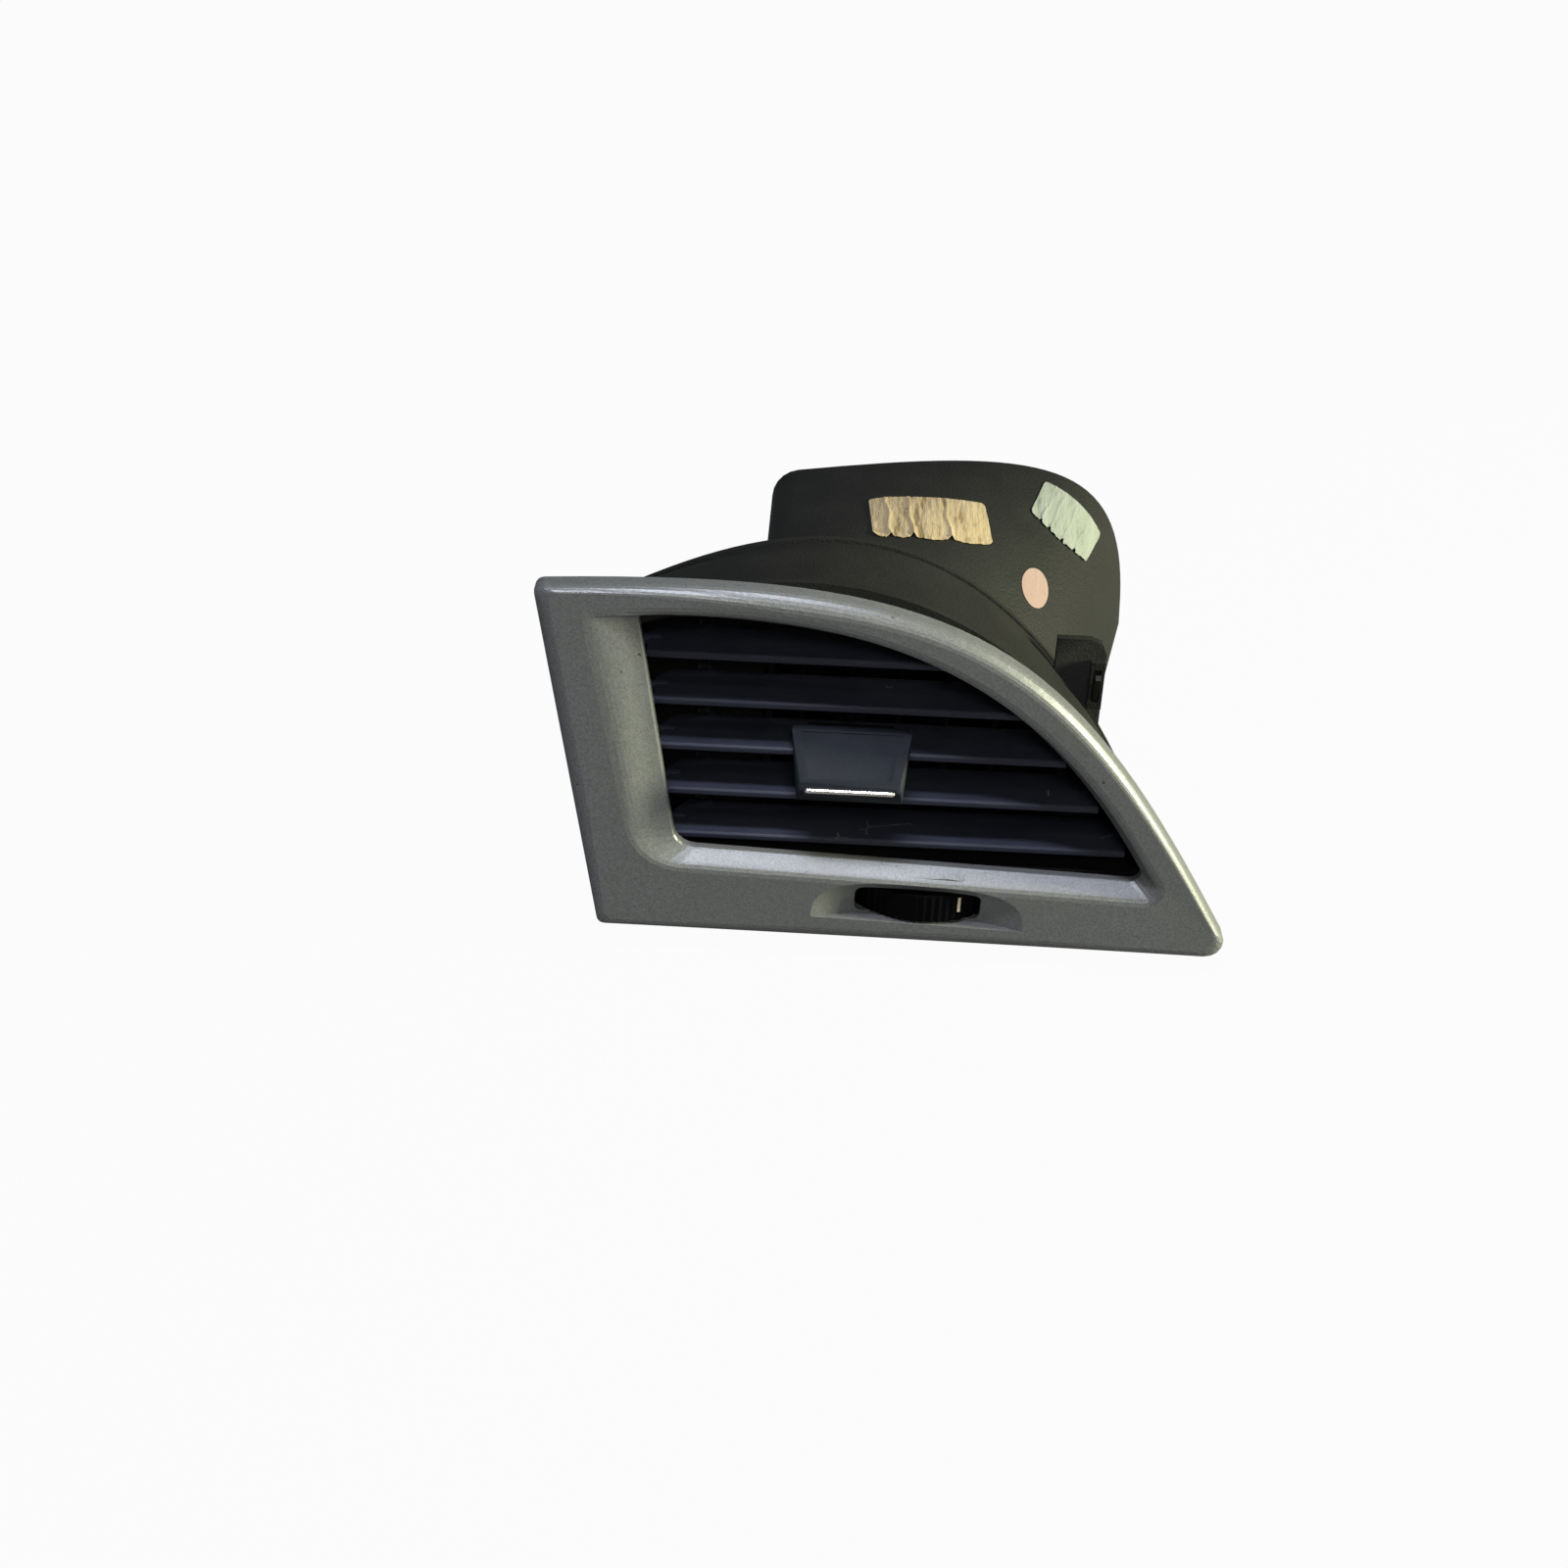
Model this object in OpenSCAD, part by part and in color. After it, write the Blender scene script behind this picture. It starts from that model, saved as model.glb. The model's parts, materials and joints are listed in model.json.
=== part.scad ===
// Dashboard air vent: painted face plate, black housing, steerable louvres, sliding knob,
// thumbwheel and three-blade shut-off damper.
// X runs to the right along the louvres, Y runs back into the dashboard, Z is up.
// The origin is the centre of the air outlet, in the plane of the face plate.

/* [Air outlet] */
// Width of the outlet, from its upper left corner to its lower right corner
outlet_w = 129; // [118:1:142]
// Height of the outlet at its left side
outlet_h = 66; // [63:1:74]
// How far the lower left corner of the outlet leans to the right of the upper left one
outlet_lean = 10; // [4:0.5:14]

/* [Face plate] */
// Width of the painted band above the outlet and along the curve
band_top = 9; // [7:0.5:12]
// Width of the painted band on the left
band_left = 24; // [18:1:32]
// Width of the painted band under the outlet, which holds the thumbwheel slot
band_bottom = 21; // [19:0.5:26]
// Width of the painted band beyond the lower right corner of the outlet
band_right = 23; // [18:1:30]
// Thickness of the face plate moulding
plate_wall = 2.4; // [1.8:0.1:3]
// How far the crown of the face plate stands in front of its rim
crown = 2.6; // [1.5:0.1:3.5]
// Depth of the rim that turns back towards the dashboard
rim_depth = 4; // [3:0.25:5]
// Width of the sloping lip round the outlet
lip_w = 3.2; // [2:0.2:5]
// Width of the broad bevel at the left of the outlet
bevel_w = 10; // [7:0.5:14]

/* [Housing] */
// Wall thickness of the front housing
housing_wall = 1.8; // [1.4:0.1:2.2]
// Distance from the face plane to the back of the front housing
housing_back = 35; // [33:0.5:38]
// Distance from the face plane to the back of the rear duct
duct_back = 85; // [85:1:110]
// Wall thickness of the rear duct
duct_wall = 2; // [1.5:0.1:2.5]
// Running clearance between parts that seat in each other
fit_gap = 0.2; // [0.1:0.05:0.3]
// Clearance between a pivot pin and its bore
pin_gap = 0.06; // [0.03:0.01:0.09]

/* [Front louvres] */
// Depth of a horizontal louvre from front to back
louvre_chord = 16.7; // [15:0.1:17.2]
// Thickness of a horizontal louvre
louvre_t = 2; // [1.6:0.1:2.4]
// Radius of a horizontal louvre's pivot pin
louvre_pin_r = 1.5; // [1.2:0.1:1.8]

/* [Rear louvres] */
// Distance between two upright louvres
upright_pitch = 12.5; // [12:0.1:12.8]
// Depth of an upright louvre from front to back
upright_chord = 17; // [14:0.5:18]
// Thickness of an upright louvre
upright_t = 1.6; // [1.2:0.1:2]
// Radius of an upright louvre's pivot pin
upright_pin_r = 1.4; // [1.1:0.1:1.7]

/* [Knob] */
// Width of the knob at its upper edge
knob_top_w = 29.5; // [24:0.5:31]
// Width of the knob at its lower edge
knob_low_w = 24.5; // [20:0.5:28]

/* [Thumbwheel and damper] */
// Radius of the thumbwheel
wheel_r = 22; // [20:0.5:22.5]
// Height of the thumbwheel's rim
wheel_h = 7.5; // [6:0.25:8]
// Radius of the thumbwheel's axle
axle_r = 3; // [2.4:0.1:3.6]
// Radius of both cranks, on the thumbwheel and on the damper
crank_r = 14; // [12:0.5:14.5]
// Distance between two damper blades
blade_pitch = 26.4; // [26:0.1:26.8]
// Thickness of a damper blade
blade_t = 2; // [1.6:0.1:2.4]
// Radius of a damper blade's spindle
spindle_r = 2.5; // [2:0.1:2.8]

/* [Hidden] */
$fn = 32;
eps = 0.01;

// Counts of points on each stretch of an outline, the same for every outline
n_top = 34;
n_side = 8;
n_bottom = 16;
n_corner = 5;

function unit(v) = v / norm(v);
function mix(a, b, t) = a * (1 - t) + b * t;
function bezier(a, b, c, d, t) =
    a * pow(1 - t, 3) + b * 3 * t * pow(1 - t, 2) + c * 3 * t * t * (1 - t) + d * pow(t, 3);

// Length that a fillet of radius r takes from each side of the corner at p
function fillet_run(p, from, to, r) =
    r / tan(acos(unit(from - p) * unit(to - p)) / 2);

// Points of a fillet of radius r in the corner at p
function fillet(p, from, to, r) =
    let (a = unit(from - p), b = unit(to - p), half = acos(a * b) / 2,
         centre = p + unit(a + b) * r / sin(half), run = r / tan(half),
         s = p + a * run - centre, e = p + b * run - centre, turn = 180 - 2 * half)
    [for (i = [0:n_corner])
        centre + (s * sin(turn * (1 - i / n_corner)) + e * sin(turn * i / n_corner)) / sin(turn)];

// Closed outline, clockwise as seen from the front: left corner, top curve, right corner,
// bottom edge, lower left corner, left edge. h1 and h2 are the handles of the top curve.
function outline(tl, h1, h2, br, bl, r) =
    let (t0 = fillet_run(tl, bl, h1, r[0]) / (3 * norm(h1 - tl)),
         t1 = 1 - fillet_run(br, h2, bl, r[1]) / (3 * norm(br - h2)),
         b0 = br + unit(bl - br) * fillet_run(br, h2, bl, r[1]),
         b1 = bl + unit(br - bl) * fillet_run(bl, br, tl, r[2]),
         l0 = bl + unit(tl - bl) * fillet_run(bl, br, tl, r[2]),
         l1 = tl + unit(bl - tl) * fillet_run(tl, bl, h1, r[0]))
    concat(fillet(tl, bl, h1, r[0]),
           [for (i = [1:n_top - 1]) bezier(tl, h1, h2, br, mix(t0, t1, i / n_top))],
           fillet(br, h2, bl, r[1]),
           [for (i = [1:n_bottom - 1]) mix(b0, b1, i / n_bottom)],
           fillet(bl, br, tl, r[2]),
           [for (i = [1:n_side - 1]) mix(l0, l1, i / n_side)]);

// Outline moved outwards by d, or inwards where d is negative
function grown(pts, d) =
    let (n = len(pts))
    [for (i = [0:n - 1])
        let (t = unit(pts[(i + 1) % n] - pts[(i + n - 1) % n])) pts[i] + d * [-t.y, t.x]];

function at_y(pts, y) = [for (p = pts) [p.x, y, p.y]];

// Height of an outline's top curve at x, its bottom edge at x, and its sides at z
function top_of(pts, x) = lookup(x, [for (i = [2:n_corner + n_top + 2]) [pts[i].x, pts[i].y]]);
function bottom_of(pts, x) =
    let (first = 2 * n_corner + n_top + 1, last = first + n_bottom)
    lookup(x, [for (i = [last:-1:first]) [pts[i].x, pts[i].y]]);
function right_of(pts, z) =
    let (half = floor(n_top * 0.45))
    lookup(z, [for (i = [n_corner + n_top + 2:-1:half]) [pts[i].y, pts[i].x]]);
function left_of(pts, z) =
    let (first = 3 * n_corner + n_top + n_bottom)
    lookup(z, [for (i = [first:len(pts) - 1]) [pts[i].y, pts[i].x]]);

// Closed shell from a loop of rings: the last ring joins the first
module shell(rings) {
    n = len(rings[0]);
    m = len(rings);
    points = [for (ring = rings) for (p = ring) p];
    faces = [for (j = [0:m - 1]) for (i = [0:n - 1]) for (half = [0, 1])
        let (a = j * n + i, b = j * n + (i + 1) % n,
             c = ((j + 1) % m) * n + (i + 1) % n, d = ((j + 1) % m) * n + i)
        half == 0 ? [a, b, c] : [a, c, d]];
    polyhedron(points, faces);
}

// Plate with the outline in X and Z, from y0 to y1
module slab(pts, y0, y1) {
    translate([0, y1, 0]) rotate([90, 0, 0]) linear_extrude(y1 - y0) polygon(pts);
}

// Solid that changes from outline a at y0 to outline b at y1, between two thin end plates
end_plate = 0.4;
module taper(a, y0, b, y1) {
    hull() {
        slab(a, y0, y0 + end_plate);
        slab(b, y1 - end_plate, y1);
    }
}

// Block given by its two opposite corners
module block(low, high) { translate(low) cube(high - low); }

// Rods along the three axes
module rod_x(x0, x1, y, z, r) { translate([x0, y, z]) rotate([0, 90, 0]) cylinder(h = x1 - x0, r = r); }
module rod_y(y0, y1, x, z, r) { translate([x, y1, z]) rotate([90, 0, 0]) cylinder(h = y1 - y0, r = r); }
module rod_z(z0, z1, x, y, r) { translate([x, y, z0]) cylinder(h = z1 - z0, r = r); }

// Handles of the curves follow the width and the height of the outlet
function stretch(x, z) = [x * outlet_w / 129, z * outlet_h / 66];

// Corners of the outlet
out_tl = [-0.474 * outlet_w, outlet_h / 2 + 1.2];
out_br = out_tl + [outlet_w, -outlet_h - 2.5];
out_bl = [out_tl.x + outlet_lean, out_tl.y - outlet_h + 1.8];
out_h1 = out_tl + stretch(58.6, 0.4);
out_h2 = out_br + stretch(-34.8, 60.6);
outlet = outline(out_tl, out_h1, out_h2, out_br, out_bl, [1.8, 2.4, 6]);

// Outer edge of the face plate
rim_tl = out_tl + [-band_left - 1, band_top - 1.9];
rim_br = out_br + [band_right + 1.5, -band_bottom + 0.8];
rim_bl = out_bl + [-band_left + 4.4, -band_bottom - 1.9];
rim_h1 = rim_tl + stretch(108, 7.3);
rim_h2 = rim_br + stretch(-49.5, 85.3);
rim = outline(rim_tl, rim_h1, rim_h2, rim_br, rim_bl, [2.4, 4.2, 1.6]);

// Crease between the crown of the face plate and the lip that slopes into the outlet:
// close to the outlet above and below it, far from it on the left
crease_tl = out_tl + [-bevel_w - 1.8, 0.8];
crease_br = out_br + [lip_w + 1.8, -lip_w - 0.4];
crease_bl = out_bl + [-bevel_w + 1, -lip_w];
crease = outline(crease_tl, crease_tl + stretch(66, 7.4), crease_br + stretch(-34.5, 64),
                 crease_br, crease_bl, [2, 3.4, 13]);

// Outline of the housing near the face plate and at its back
floor_z = out_br.y - 4.2;
seat_bl = [out_bl.x - 5.3, floor_z];
seat_br = [out_br.x + 7.2, floor_z];
rear_br = seat_br + [-3.2, 0];
front_tl = out_tl + [-4.8, -3.7];
back_tl = out_tl + [-4.8, -9.7];
housing_front = outline(front_tl, front_tl + stretch(24.9, 9.6), seat_br + stretch(-51.1, 105.2),
                        seat_br, seat_bl, [6, 8, 6]);
housing_rear = outline(back_tl, back_tl + stretch(43.2, 22.8), rear_br + stretch(-44.8, 96),
                       rear_br, seat_bl, [6, 8, 6]);
// The duct leaves its collar through a throat and rises to a smaller inlet
throat_tl = out_tl + [29.1, 1.3];
throat_br = [out_br.x - 15.4, floor_z];
throat = outline(throat_tl, throat_tl + stretch(37, 10.5), throat_br + stretch(-4.5, 68.5),
                 throat_br, [throat_tl.x - 1, floor_z], [5, 8, 6]);
inlet_tl = out_tl + [29.7, 3.4];
inlet_br = [out_br.x - 2.2, floor_z + 0.447 * outlet_h];
inlet = outline(inlet_tl, inlet_tl + stretch(79.4, 12.4), inlet_br + stretch(0.4, 56),
                inlet_br, [inlet_tl.x - 1, inlet_br.y], [8, 7, 6]);

// Depths of the layers from the face plane
flange_front = rim_depth;
flange_back = flange_front + 2.2;
taper_front = 24;
louvre_frame_back = 22;
flange_w = 2.4;
// The duct starts with a groove and a collar plate, then runs from its throat to its inlet
groove_back = housing_back + 1.5;
throat_y = groove_back + 2;
groove_depth = 0.9;
duct_collar = grown(housing_rear, 0.3);
film_gap = 0.08;
// Outline that lies the given gap inside the duct's wall at a depth y
function inside_duct(y, gap) =
    let (a = grown(throat, -duct_wall - gap), b = grown(inlet, -duct_wall - gap),
         t = max(0, (y - throat_y) / (duct_back - throat_y)))
    [for (i = [0:len(a) - 1]) mix(a[i], b[i], t)];
pivot_y = 14.2;
louvre_front = pivot_y - louvre_chord / 2 + 0.15;

// Horizontal louvres, from the top down
louvre_count = 5;
louvre_pitch = (outlet_h - 15.6) / (louvre_count - 1);
louvre_z1 = out_tl.y - 13;
function louvre_z(k) = louvre_z1 - louvre_pitch * (k - 1);
tilt_reach = 5;
frame_wall = 1.6;
frame_outer = grown(housing_front, -housing_wall - fit_gap);
frame_inner = grown(housing_front, -housing_wall - fit_gap - frame_wall);
function louvre_left(k) = left_of(frame_inner, louvre_z(k) - tilt_reach) + 1;
function louvre_right(k) = right_of(frame_inner, louvre_z(k) + tilt_reach) - 1.5;

// Tie bar of the horizontal louvres
tie_x = -46;
tie_crank = 11.8;
tie_pin_r = 1;

// Upright louvres, from left to right; the driven one stands behind the knob
knob_x = -8.6;
driven = 2;
upright_count = 5;
upright_y = 41;
upright_front = upright_y - 9;
function upright_x(k) = knob_x + upright_pitch * (k - driven);
upright_frame_front = 30;
upright_frame_back = 51;
// The tapered frames stand a little further from the duct's wall
frame_gap = fit_gap + 0.2;
function upright_outer(y) = inside_duct(y, frame_gap);
function upright_inner(y) = inside_duct(y, frame_gap + frame_wall);
// A louvre stays between the frame's floor and roof at both ends of its swing
swing_x = 6;
swing_y = 9;
upright_floor = bottom_of(upright_inner(upright_y + upright_pin_r), 0);
upright_low = bottom_of(upright_inner(upright_y + swing_y), 0) + 4.8;
function upright_top(k) =
    min([for (dx = [-swing_x, swing_x]) for (dy = [-swing_y, swing_y])
        top_of(upright_inner(upright_y + dy), upright_x(k) + dx)]) - 0.8;
upright_crank = 6;
finger_arm = 16;
finger_r = 1.2;
fork_z = louvre_z(3) - louvre_t / 2 - 2.3;
window_half = 0.75 * louvre_pitch;

// Knob
sleeve_gap = 0.2;
trim_half = 10.4;
trim_r = 0.7;
trim_y = -4.2;

// Thumbwheel
wheel_x = 12;
wheel_y = wheel_r - 2.5;
wheel_top = floor_z - 0.6;
wheel_bottom = wheel_top - wheel_h;
web_t = 3;
wheel_start = 40;
link_z = wheel_bottom + web_t + 0.8;
link_t = 2;
carrier_top = wheel_bottom - 0.5;
carrier_t = 2;
// Ears of the carrier, screwed to bosses in the floor of the housing
ear_x = [wheel_x - wheel_r - 8, wheel_x + wheel_r + 8];
ear_y = 21;
ear_low = floor_z - 2;

// Damper
damper_y = 70;
blade_half = (blade_pitch - 0.6) / 2;
frame_depth = 8;
function blade_x(k) = wheel_x + blade_pitch * (k - 2);
damper_floor = bottom_of(inside_duct(damper_y, 0), 0);
blade_low = bottom_of(inside_duct(damper_y + blade_half + 1, 0), 0) + 1.2;
sill_z = blade_low - 4.2;
// A blade stays under the roof from its shut to its open position
function blade_corner(k, side, turn) =
    top_of(inside_duct(damper_y - frame_depth / 2 - blade_half * sin(turn), fit_gap),
           blade_x(k) + side * blade_half * cos(turn));
blade_tops = [for (k = [1:3])
    min(min([for (turn = [0:20:80]) for (side = [-1, 1]) blade_corner(k, side, turn)]) - 3,
        blade_corner(k, 0, 0) - 5.5)];
damper_crank_r = 9;
lever_angle = 310;

// Face plate: rings across the band, from the outer rim over the crown into the outlet
function across(d, y) = [for (i = [0:len(rim) - 1])
    let (p = rim[i] + unit(outlet[i] - rim[i]) * d) [p.x, y, p.y]];
function from_outlet(d, y) = [for (i = [0:len(rim) - 1])
    let (p = outlet[i] + unit(rim[i] - outlet[i]) * d) [p.x, y, p.y]];
// The plate's collar round the outlet is wide enough to bear on the housing's flange
collar_w = 4.8;
// Width of the rounded outer edge, and depth at which the lip meets the outlet
edge_r = 4;
lip_back = 2;

slot_w = 32;
slot_h = 8.4;
slot_x = wheel_x - 1.5;
slot_z = (wheel_top + wheel_bottom) / 2 + 0.3;

// Spindle-shaped body along X, used for the thumb scoop
module thumb_scoop(half_length, r) {
    big = (half_length * half_length + r * r) / (2 * r);
    turn = asin(half_length / big);
    translate([slot_x, -crown, slot_z]) rotate([0, 90, 0]) rotate_extrude($fn = 48)
        polygon(concat([[0, -half_length]],
            [for (i = [1:11]) let (a = turn * (i / 6 - 1)) [big * cos(a) - big + r, big * sin(a)]],
            [[0, half_length]]));
}

module slot_cut(y0, y1) {
    r = slot_h / 2;
    half = slot_w / 2 - slot_h / 2;
    rod_y(y0, y1, slot_x - half, slot_z, r);
    rod_y(y0, y1, slot_x + half, slot_z, r);
    block([slot_x - half, y0, slot_z - r], [slot_x + half, y1, slot_z + r]);
}

module bezel() {
    color([0.46, 0.47, 0.46]) difference() {
        union() {
            shell([for (a = [0:15:90]) across(edge_r * (1 - cos(a)), 1 - (1 + crown) * sin(a)),
                   at_y(grown(crease, 1.5), -crown + 0.1), at_y(grown(crease, 0.4), -crown + 0.3),
                   at_y(grown(crease, -0.5), -crown + 0.75), from_outlet(0.5, lip_back - 0.55),
                   from_outlet(0.12, lip_back - 0.1), from_outlet(0, lip_back + 0.4),
                   from_outlet(0, flange_front),
                   from_outlet(collar_w, flange_front), from_outlet(collar_w, 2.8),
                   across(4.4, plate_wall - crown + 0.6), across(2.2, plate_wall - crown + 1.4),
                   across(2, flange_front), across(0, flange_front)]);
            intersection() {
                thumb_scoop(31, 8.8);
                block([slot_x - 40, -1, slot_z - 9], [slot_x + 40, flange_front, slot_z + 8]);
            }
        }
        thumb_scoop(29, 6.6);
        slot_cut(-crown - 3, flange_front + 2);
        rod_z(wheel_bottom - 0.4, wheel_top + 0.4, wheel_x, wheel_y, wheel_r + 0.5);
    }
}

module front_housing() {
    color([0.10, 0.10, 0.10]) difference() {
        union() {
            slab(grown(housing_front, flange_w), flange_front, flange_back);
            slab(housing_front, flange_back - 0.2, taper_front);
            taper(housing_front, taper_front - 0.2, housing_rear, housing_back);
            right_flange();
            left_flange();
        }
        slab(grown(housing_front, -housing_wall), flange_front - 1, taper_front);
        // Notch in the flange for the thumbwheel
        block([wheel_x - 19, flange_front - 1, floor_z - 4], [wheel_x + 19, flange_back + 0.4, floor_z]);
        for (x = ear_x) rod_z(floor_z - 1, floor_z + 4, x, ear_y, 1.15);
        taper(grown(housing_front, -housing_wall), taper_front - 0.2,
              grown(housing_rear, -housing_wall), housing_back + 0.1);
    }
}

// Clip flanges stand beside the housing's back
clip_y = 30;
clip_t = 2.4;
clip_x = right_of(housing_rear, 0) + 0.5;
clip_low = -12;
clip_high = 19;
module right_flange() {
    slab([[clip_x - 8, clip_low], [clip_x + 4.7, clip_low], [clip_x + 4.7, clip_high - 4],
          [clip_x + 3.5, clip_high - 1.2], [clip_x + 0.6, clip_high], [clip_x - 8, clip_high]],
         clip_y, clip_y + clip_t);
}
left_clip_x = left_of(housing_rear, 0);
module left_flange() {
    slab([[left_clip_x - 7, clip_low], [left_clip_x + 8, clip_low], [left_clip_x + 8, clip_high - 4],
          [left_clip_x - 7, clip_high - 4]], clip_y, clip_y + clip_t);
}

// Snap clip: a frame with a sprung tab that leans out of it
clip_half = 1.8;
module snap_clip() {
    block([-clip_half, -2, 0], [clip_half, 0, 2]);
    block([-clip_half, -2, 11], [clip_half, 0, 13]);
    for (side = [-1, 1]) translate([side * (clip_half - 0.4), 0, 0])
        block([-0.4, -2, 0], [0.4, 0, 13]);
    translate([-0.7, 0, 0]) rotate([90, 0, 90]) linear_extrude(1.4)
        polygon([[0, 1], [-1.2, 1], [-4.6, 9.4], [-3.6, 10.4], [0, 3.4]]);
}
module right_clip() {
    color([0.16, 0.16, 0.17]) translate([clip_x + 2.7, clip_y, 0.5]) snap_clip();
}
module left_clip() {
    color([0.16, 0.16, 0.17]) translate([left_clip_x - 3.8, clip_y, -6]) snap_clip();
}

module rear_duct() {
    color([0.12, 0.12, 0.11]) difference() {
        union() {
            slab(grown(housing_rear, -groove_depth), housing_back, groove_back + 0.3);
            slab(duct_collar, groove_back, throat_y);
            taper(throat, throat_y - 0.3, inlet, duct_back);
            // Boss that carries the middle spindle down to the crank
            rod_z(floor_z, damper_floor + 3, wheel_x, damper_y, spindle_r + 2.2);
        }
        slab(grown(housing_rear, -duct_wall), housing_back - 1, groove_back + 0.3);
        slab(grown(throat, -duct_wall), groove_back, throat_y);
        taper(grown(throat, -duct_wall), throat_y - 0.3, grown(inlet, -duct_wall), duct_back + 0.1);
        rod_z(floor_z - 2, blade_low, wheel_x, damper_y, spindle_r + pin_gap);
    }
}

// Frame that the horizontal louvres turn in
module louvre_frame() {
    color([0.07, 0.07, 0.08]) difference() {
        slab(frame_outer, flange_back + 0.6, louvre_frame_back);
        slab(frame_inner, flange_back, louvre_frame_back + 1);
        for (k = [1:louvre_count])
            rod_x(-120, 120, pivot_y, louvre_z(k), louvre_pin_r + pin_gap);
    }
}

// Frame that the upright louvres turn in
module upright_frame() {
    color([0.07, 0.07, 0.08]) difference() {
        union() {
            difference() {
                union() {
                    slab(upright_outer(0), upright_frame_front, throat_y + 0.2);
                    taper(upright_outer(0), throat_y,
                          upright_outer(upright_frame_back - end_plate), upright_frame_back);
                }
                slab(upright_inner(0), upright_frame_front - 1, throat_y + 0.2);
                taper(upright_inner(0), throat_y,
                      upright_inner(upright_frame_back + 1), upright_frame_back + 1);
            }
            // Bosses round the lower pins
            for (k = [1:upright_count])
                rod_z(upright_floor - 0.9, upright_floor + 1.4, upright_x(k), upright_y,
                      upright_pin_r + 1.2);
        }
        for (k = [1:upright_count])
            rod_z(-60, 60, upright_x(k), upright_y, upright_pin_r + pin_gap);
    }
}

// Section of a louvre: front edge at -front, back edge at +back, slightly thinner behind
function louvre_section(front, back, t) =
    [[-front + 0.5, -t / 2], [-front, -t / 4], [-front, t / 4], [-front + 0.5, t / 2],
     [0, t / 2], [back - 0.3, t * 0.34], [back, 0], [back - 0.3, -t * 0.34], [0, -t / 2]];

module front_louvre(k) {
    z = louvre_z(k);
    left = louvre_left(k);
    right = louvre_right(k);
    pin_left = left_of(frame_outer, z - louvre_pin_r) + 0.3;
    pin_right = right_of(frame_outer, z + louvre_pin_r) - 0.3;
    front = pivot_y - louvre_front;
    back = louvre_chord - front;
    color([0.20, 0.20, 0.25]) {
        difference() {
            translate([left, pivot_y, z]) rotate([90, 0, 90]) linear_extrude(right - left)
                polygon(louvre_section(front, back, louvre_t));
            // The back corners are cut away on the slant
            translate([0, pivot_y, z - 5]) linear_extrude(10) {
                polygon([[left - 1, 1], [left - 1, back + 1], [left + 4.5, back + 1]]);
                polygon([[right + 1, 1], [right + 1, back + 1], [right - 4.5, back + 1]]);
            }
        }
        rod_x(pin_left, left + 3, pivot_y, z, louvre_pin_r);
        rod_x(right - 3, pin_right, pivot_y, z, louvre_pin_r);
        // Lug and pin for the tie bar
        block([tie_x + 1.4, pivot_y + back - 2, z - 0.8], [tie_x + 3, pivot_y + tie_crank + 1, z + 0.8]);
        rod_x(tie_x - 1.6, tie_x + 1.4 + eps, pivot_y + tie_crank, z, tie_pin_r);
    }
}

module front_tie_bar() {
    color([0.06, 0.06, 0.06]) difference() {
        union() {
            block([tie_x - 0.9, pivot_y + tie_crank - 1.2, louvre_z(louvre_count)],
                  [tie_x + 0.9, pivot_y + tie_crank + 1.2, louvre_z(1)]);
            for (k = [1:louvre_count])
                rod_x(tie_x - 0.9, tie_x + 0.9, pivot_y + tie_crank, louvre_z(k), tie_pin_r + 1.1);
        }
        for (k = [1:louvre_count])
            rod_x(tie_x - 2, tie_x + 2, pivot_y + tie_crank, louvre_z(k), tie_pin_r + pin_gap);
    }
}

// Knob: a sloping face framed by a bevel, with a chin below; it grips the middle louvre
module knob_layer(y, z, w) {
    translate([knob_x, y, z]) rotate([0, 90, 0]) cylinder(h = w, r = 0.8, center = true, $fn = 16);
}
module knob() {
    z = louvre_z(3);
    color([0.18, 0.20, 0.23]) difference() {
        hull() {
            knob_layer(8, z + 6.1, knob_top_w - 1);
            knob_layer(6, z + 6.1, knob_top_w);
            knob_layer(-3, z - 3.4, knob_low_w);
            knob_layer(-3.6, z - 4.6, knob_low_w + 0.6);
            knob_layer(-3, z - 7.2, knob_low_w + 1.4);
            knob_layer(2.5, z - 8, knob_low_w + 1);
            knob_layer(8.2, z - 4.6, knob_low_w);
        }
        // Shallow sloping field inside the bevel
        translate([knob_x, -3.6, z - 3.2]) rotate([46.5, 0, 0])
            linear_extrude(4) polygon([[-knob_low_w / 2 + 2.2, 1.4], [knob_low_w / 2 - 2.2, 1.4],
                                       [knob_top_w / 2 - 2.2, 13.2], [-knob_top_w / 2 + 2.2, 13.2]]);
        // Seat of the metal strip
        rod_x(knob_x - trim_half - trim_r, knob_x + trim_half + trim_r, trim_y, z - 4.7,
              trim_r + 0.05);
        // Pocket for the sleeve and the louvre
        block([knob_x - 11, 3.8, z - 3.2], [knob_x + 11, 12, z + 3.2]);
        block([knob_x - 20, louvre_front - 0.4, z - louvre_t / 2 - sleeve_gap],
              [knob_x + 20, 12, z + louvre_t / 2 + sleeve_gap]);
    }
}

module knob_trim() {
    color([0.75, 0.74, 0.70]) {
        rod_x(knob_x - trim_half, knob_x + trim_half, trim_y, louvre_z(3) - 4.7, trim_r);
        for (side = [-1, 1])
            translate([knob_x + side * trim_half, trim_y, louvre_z(3) - 4.7]) sphere(r = trim_r);
    }
}

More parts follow.
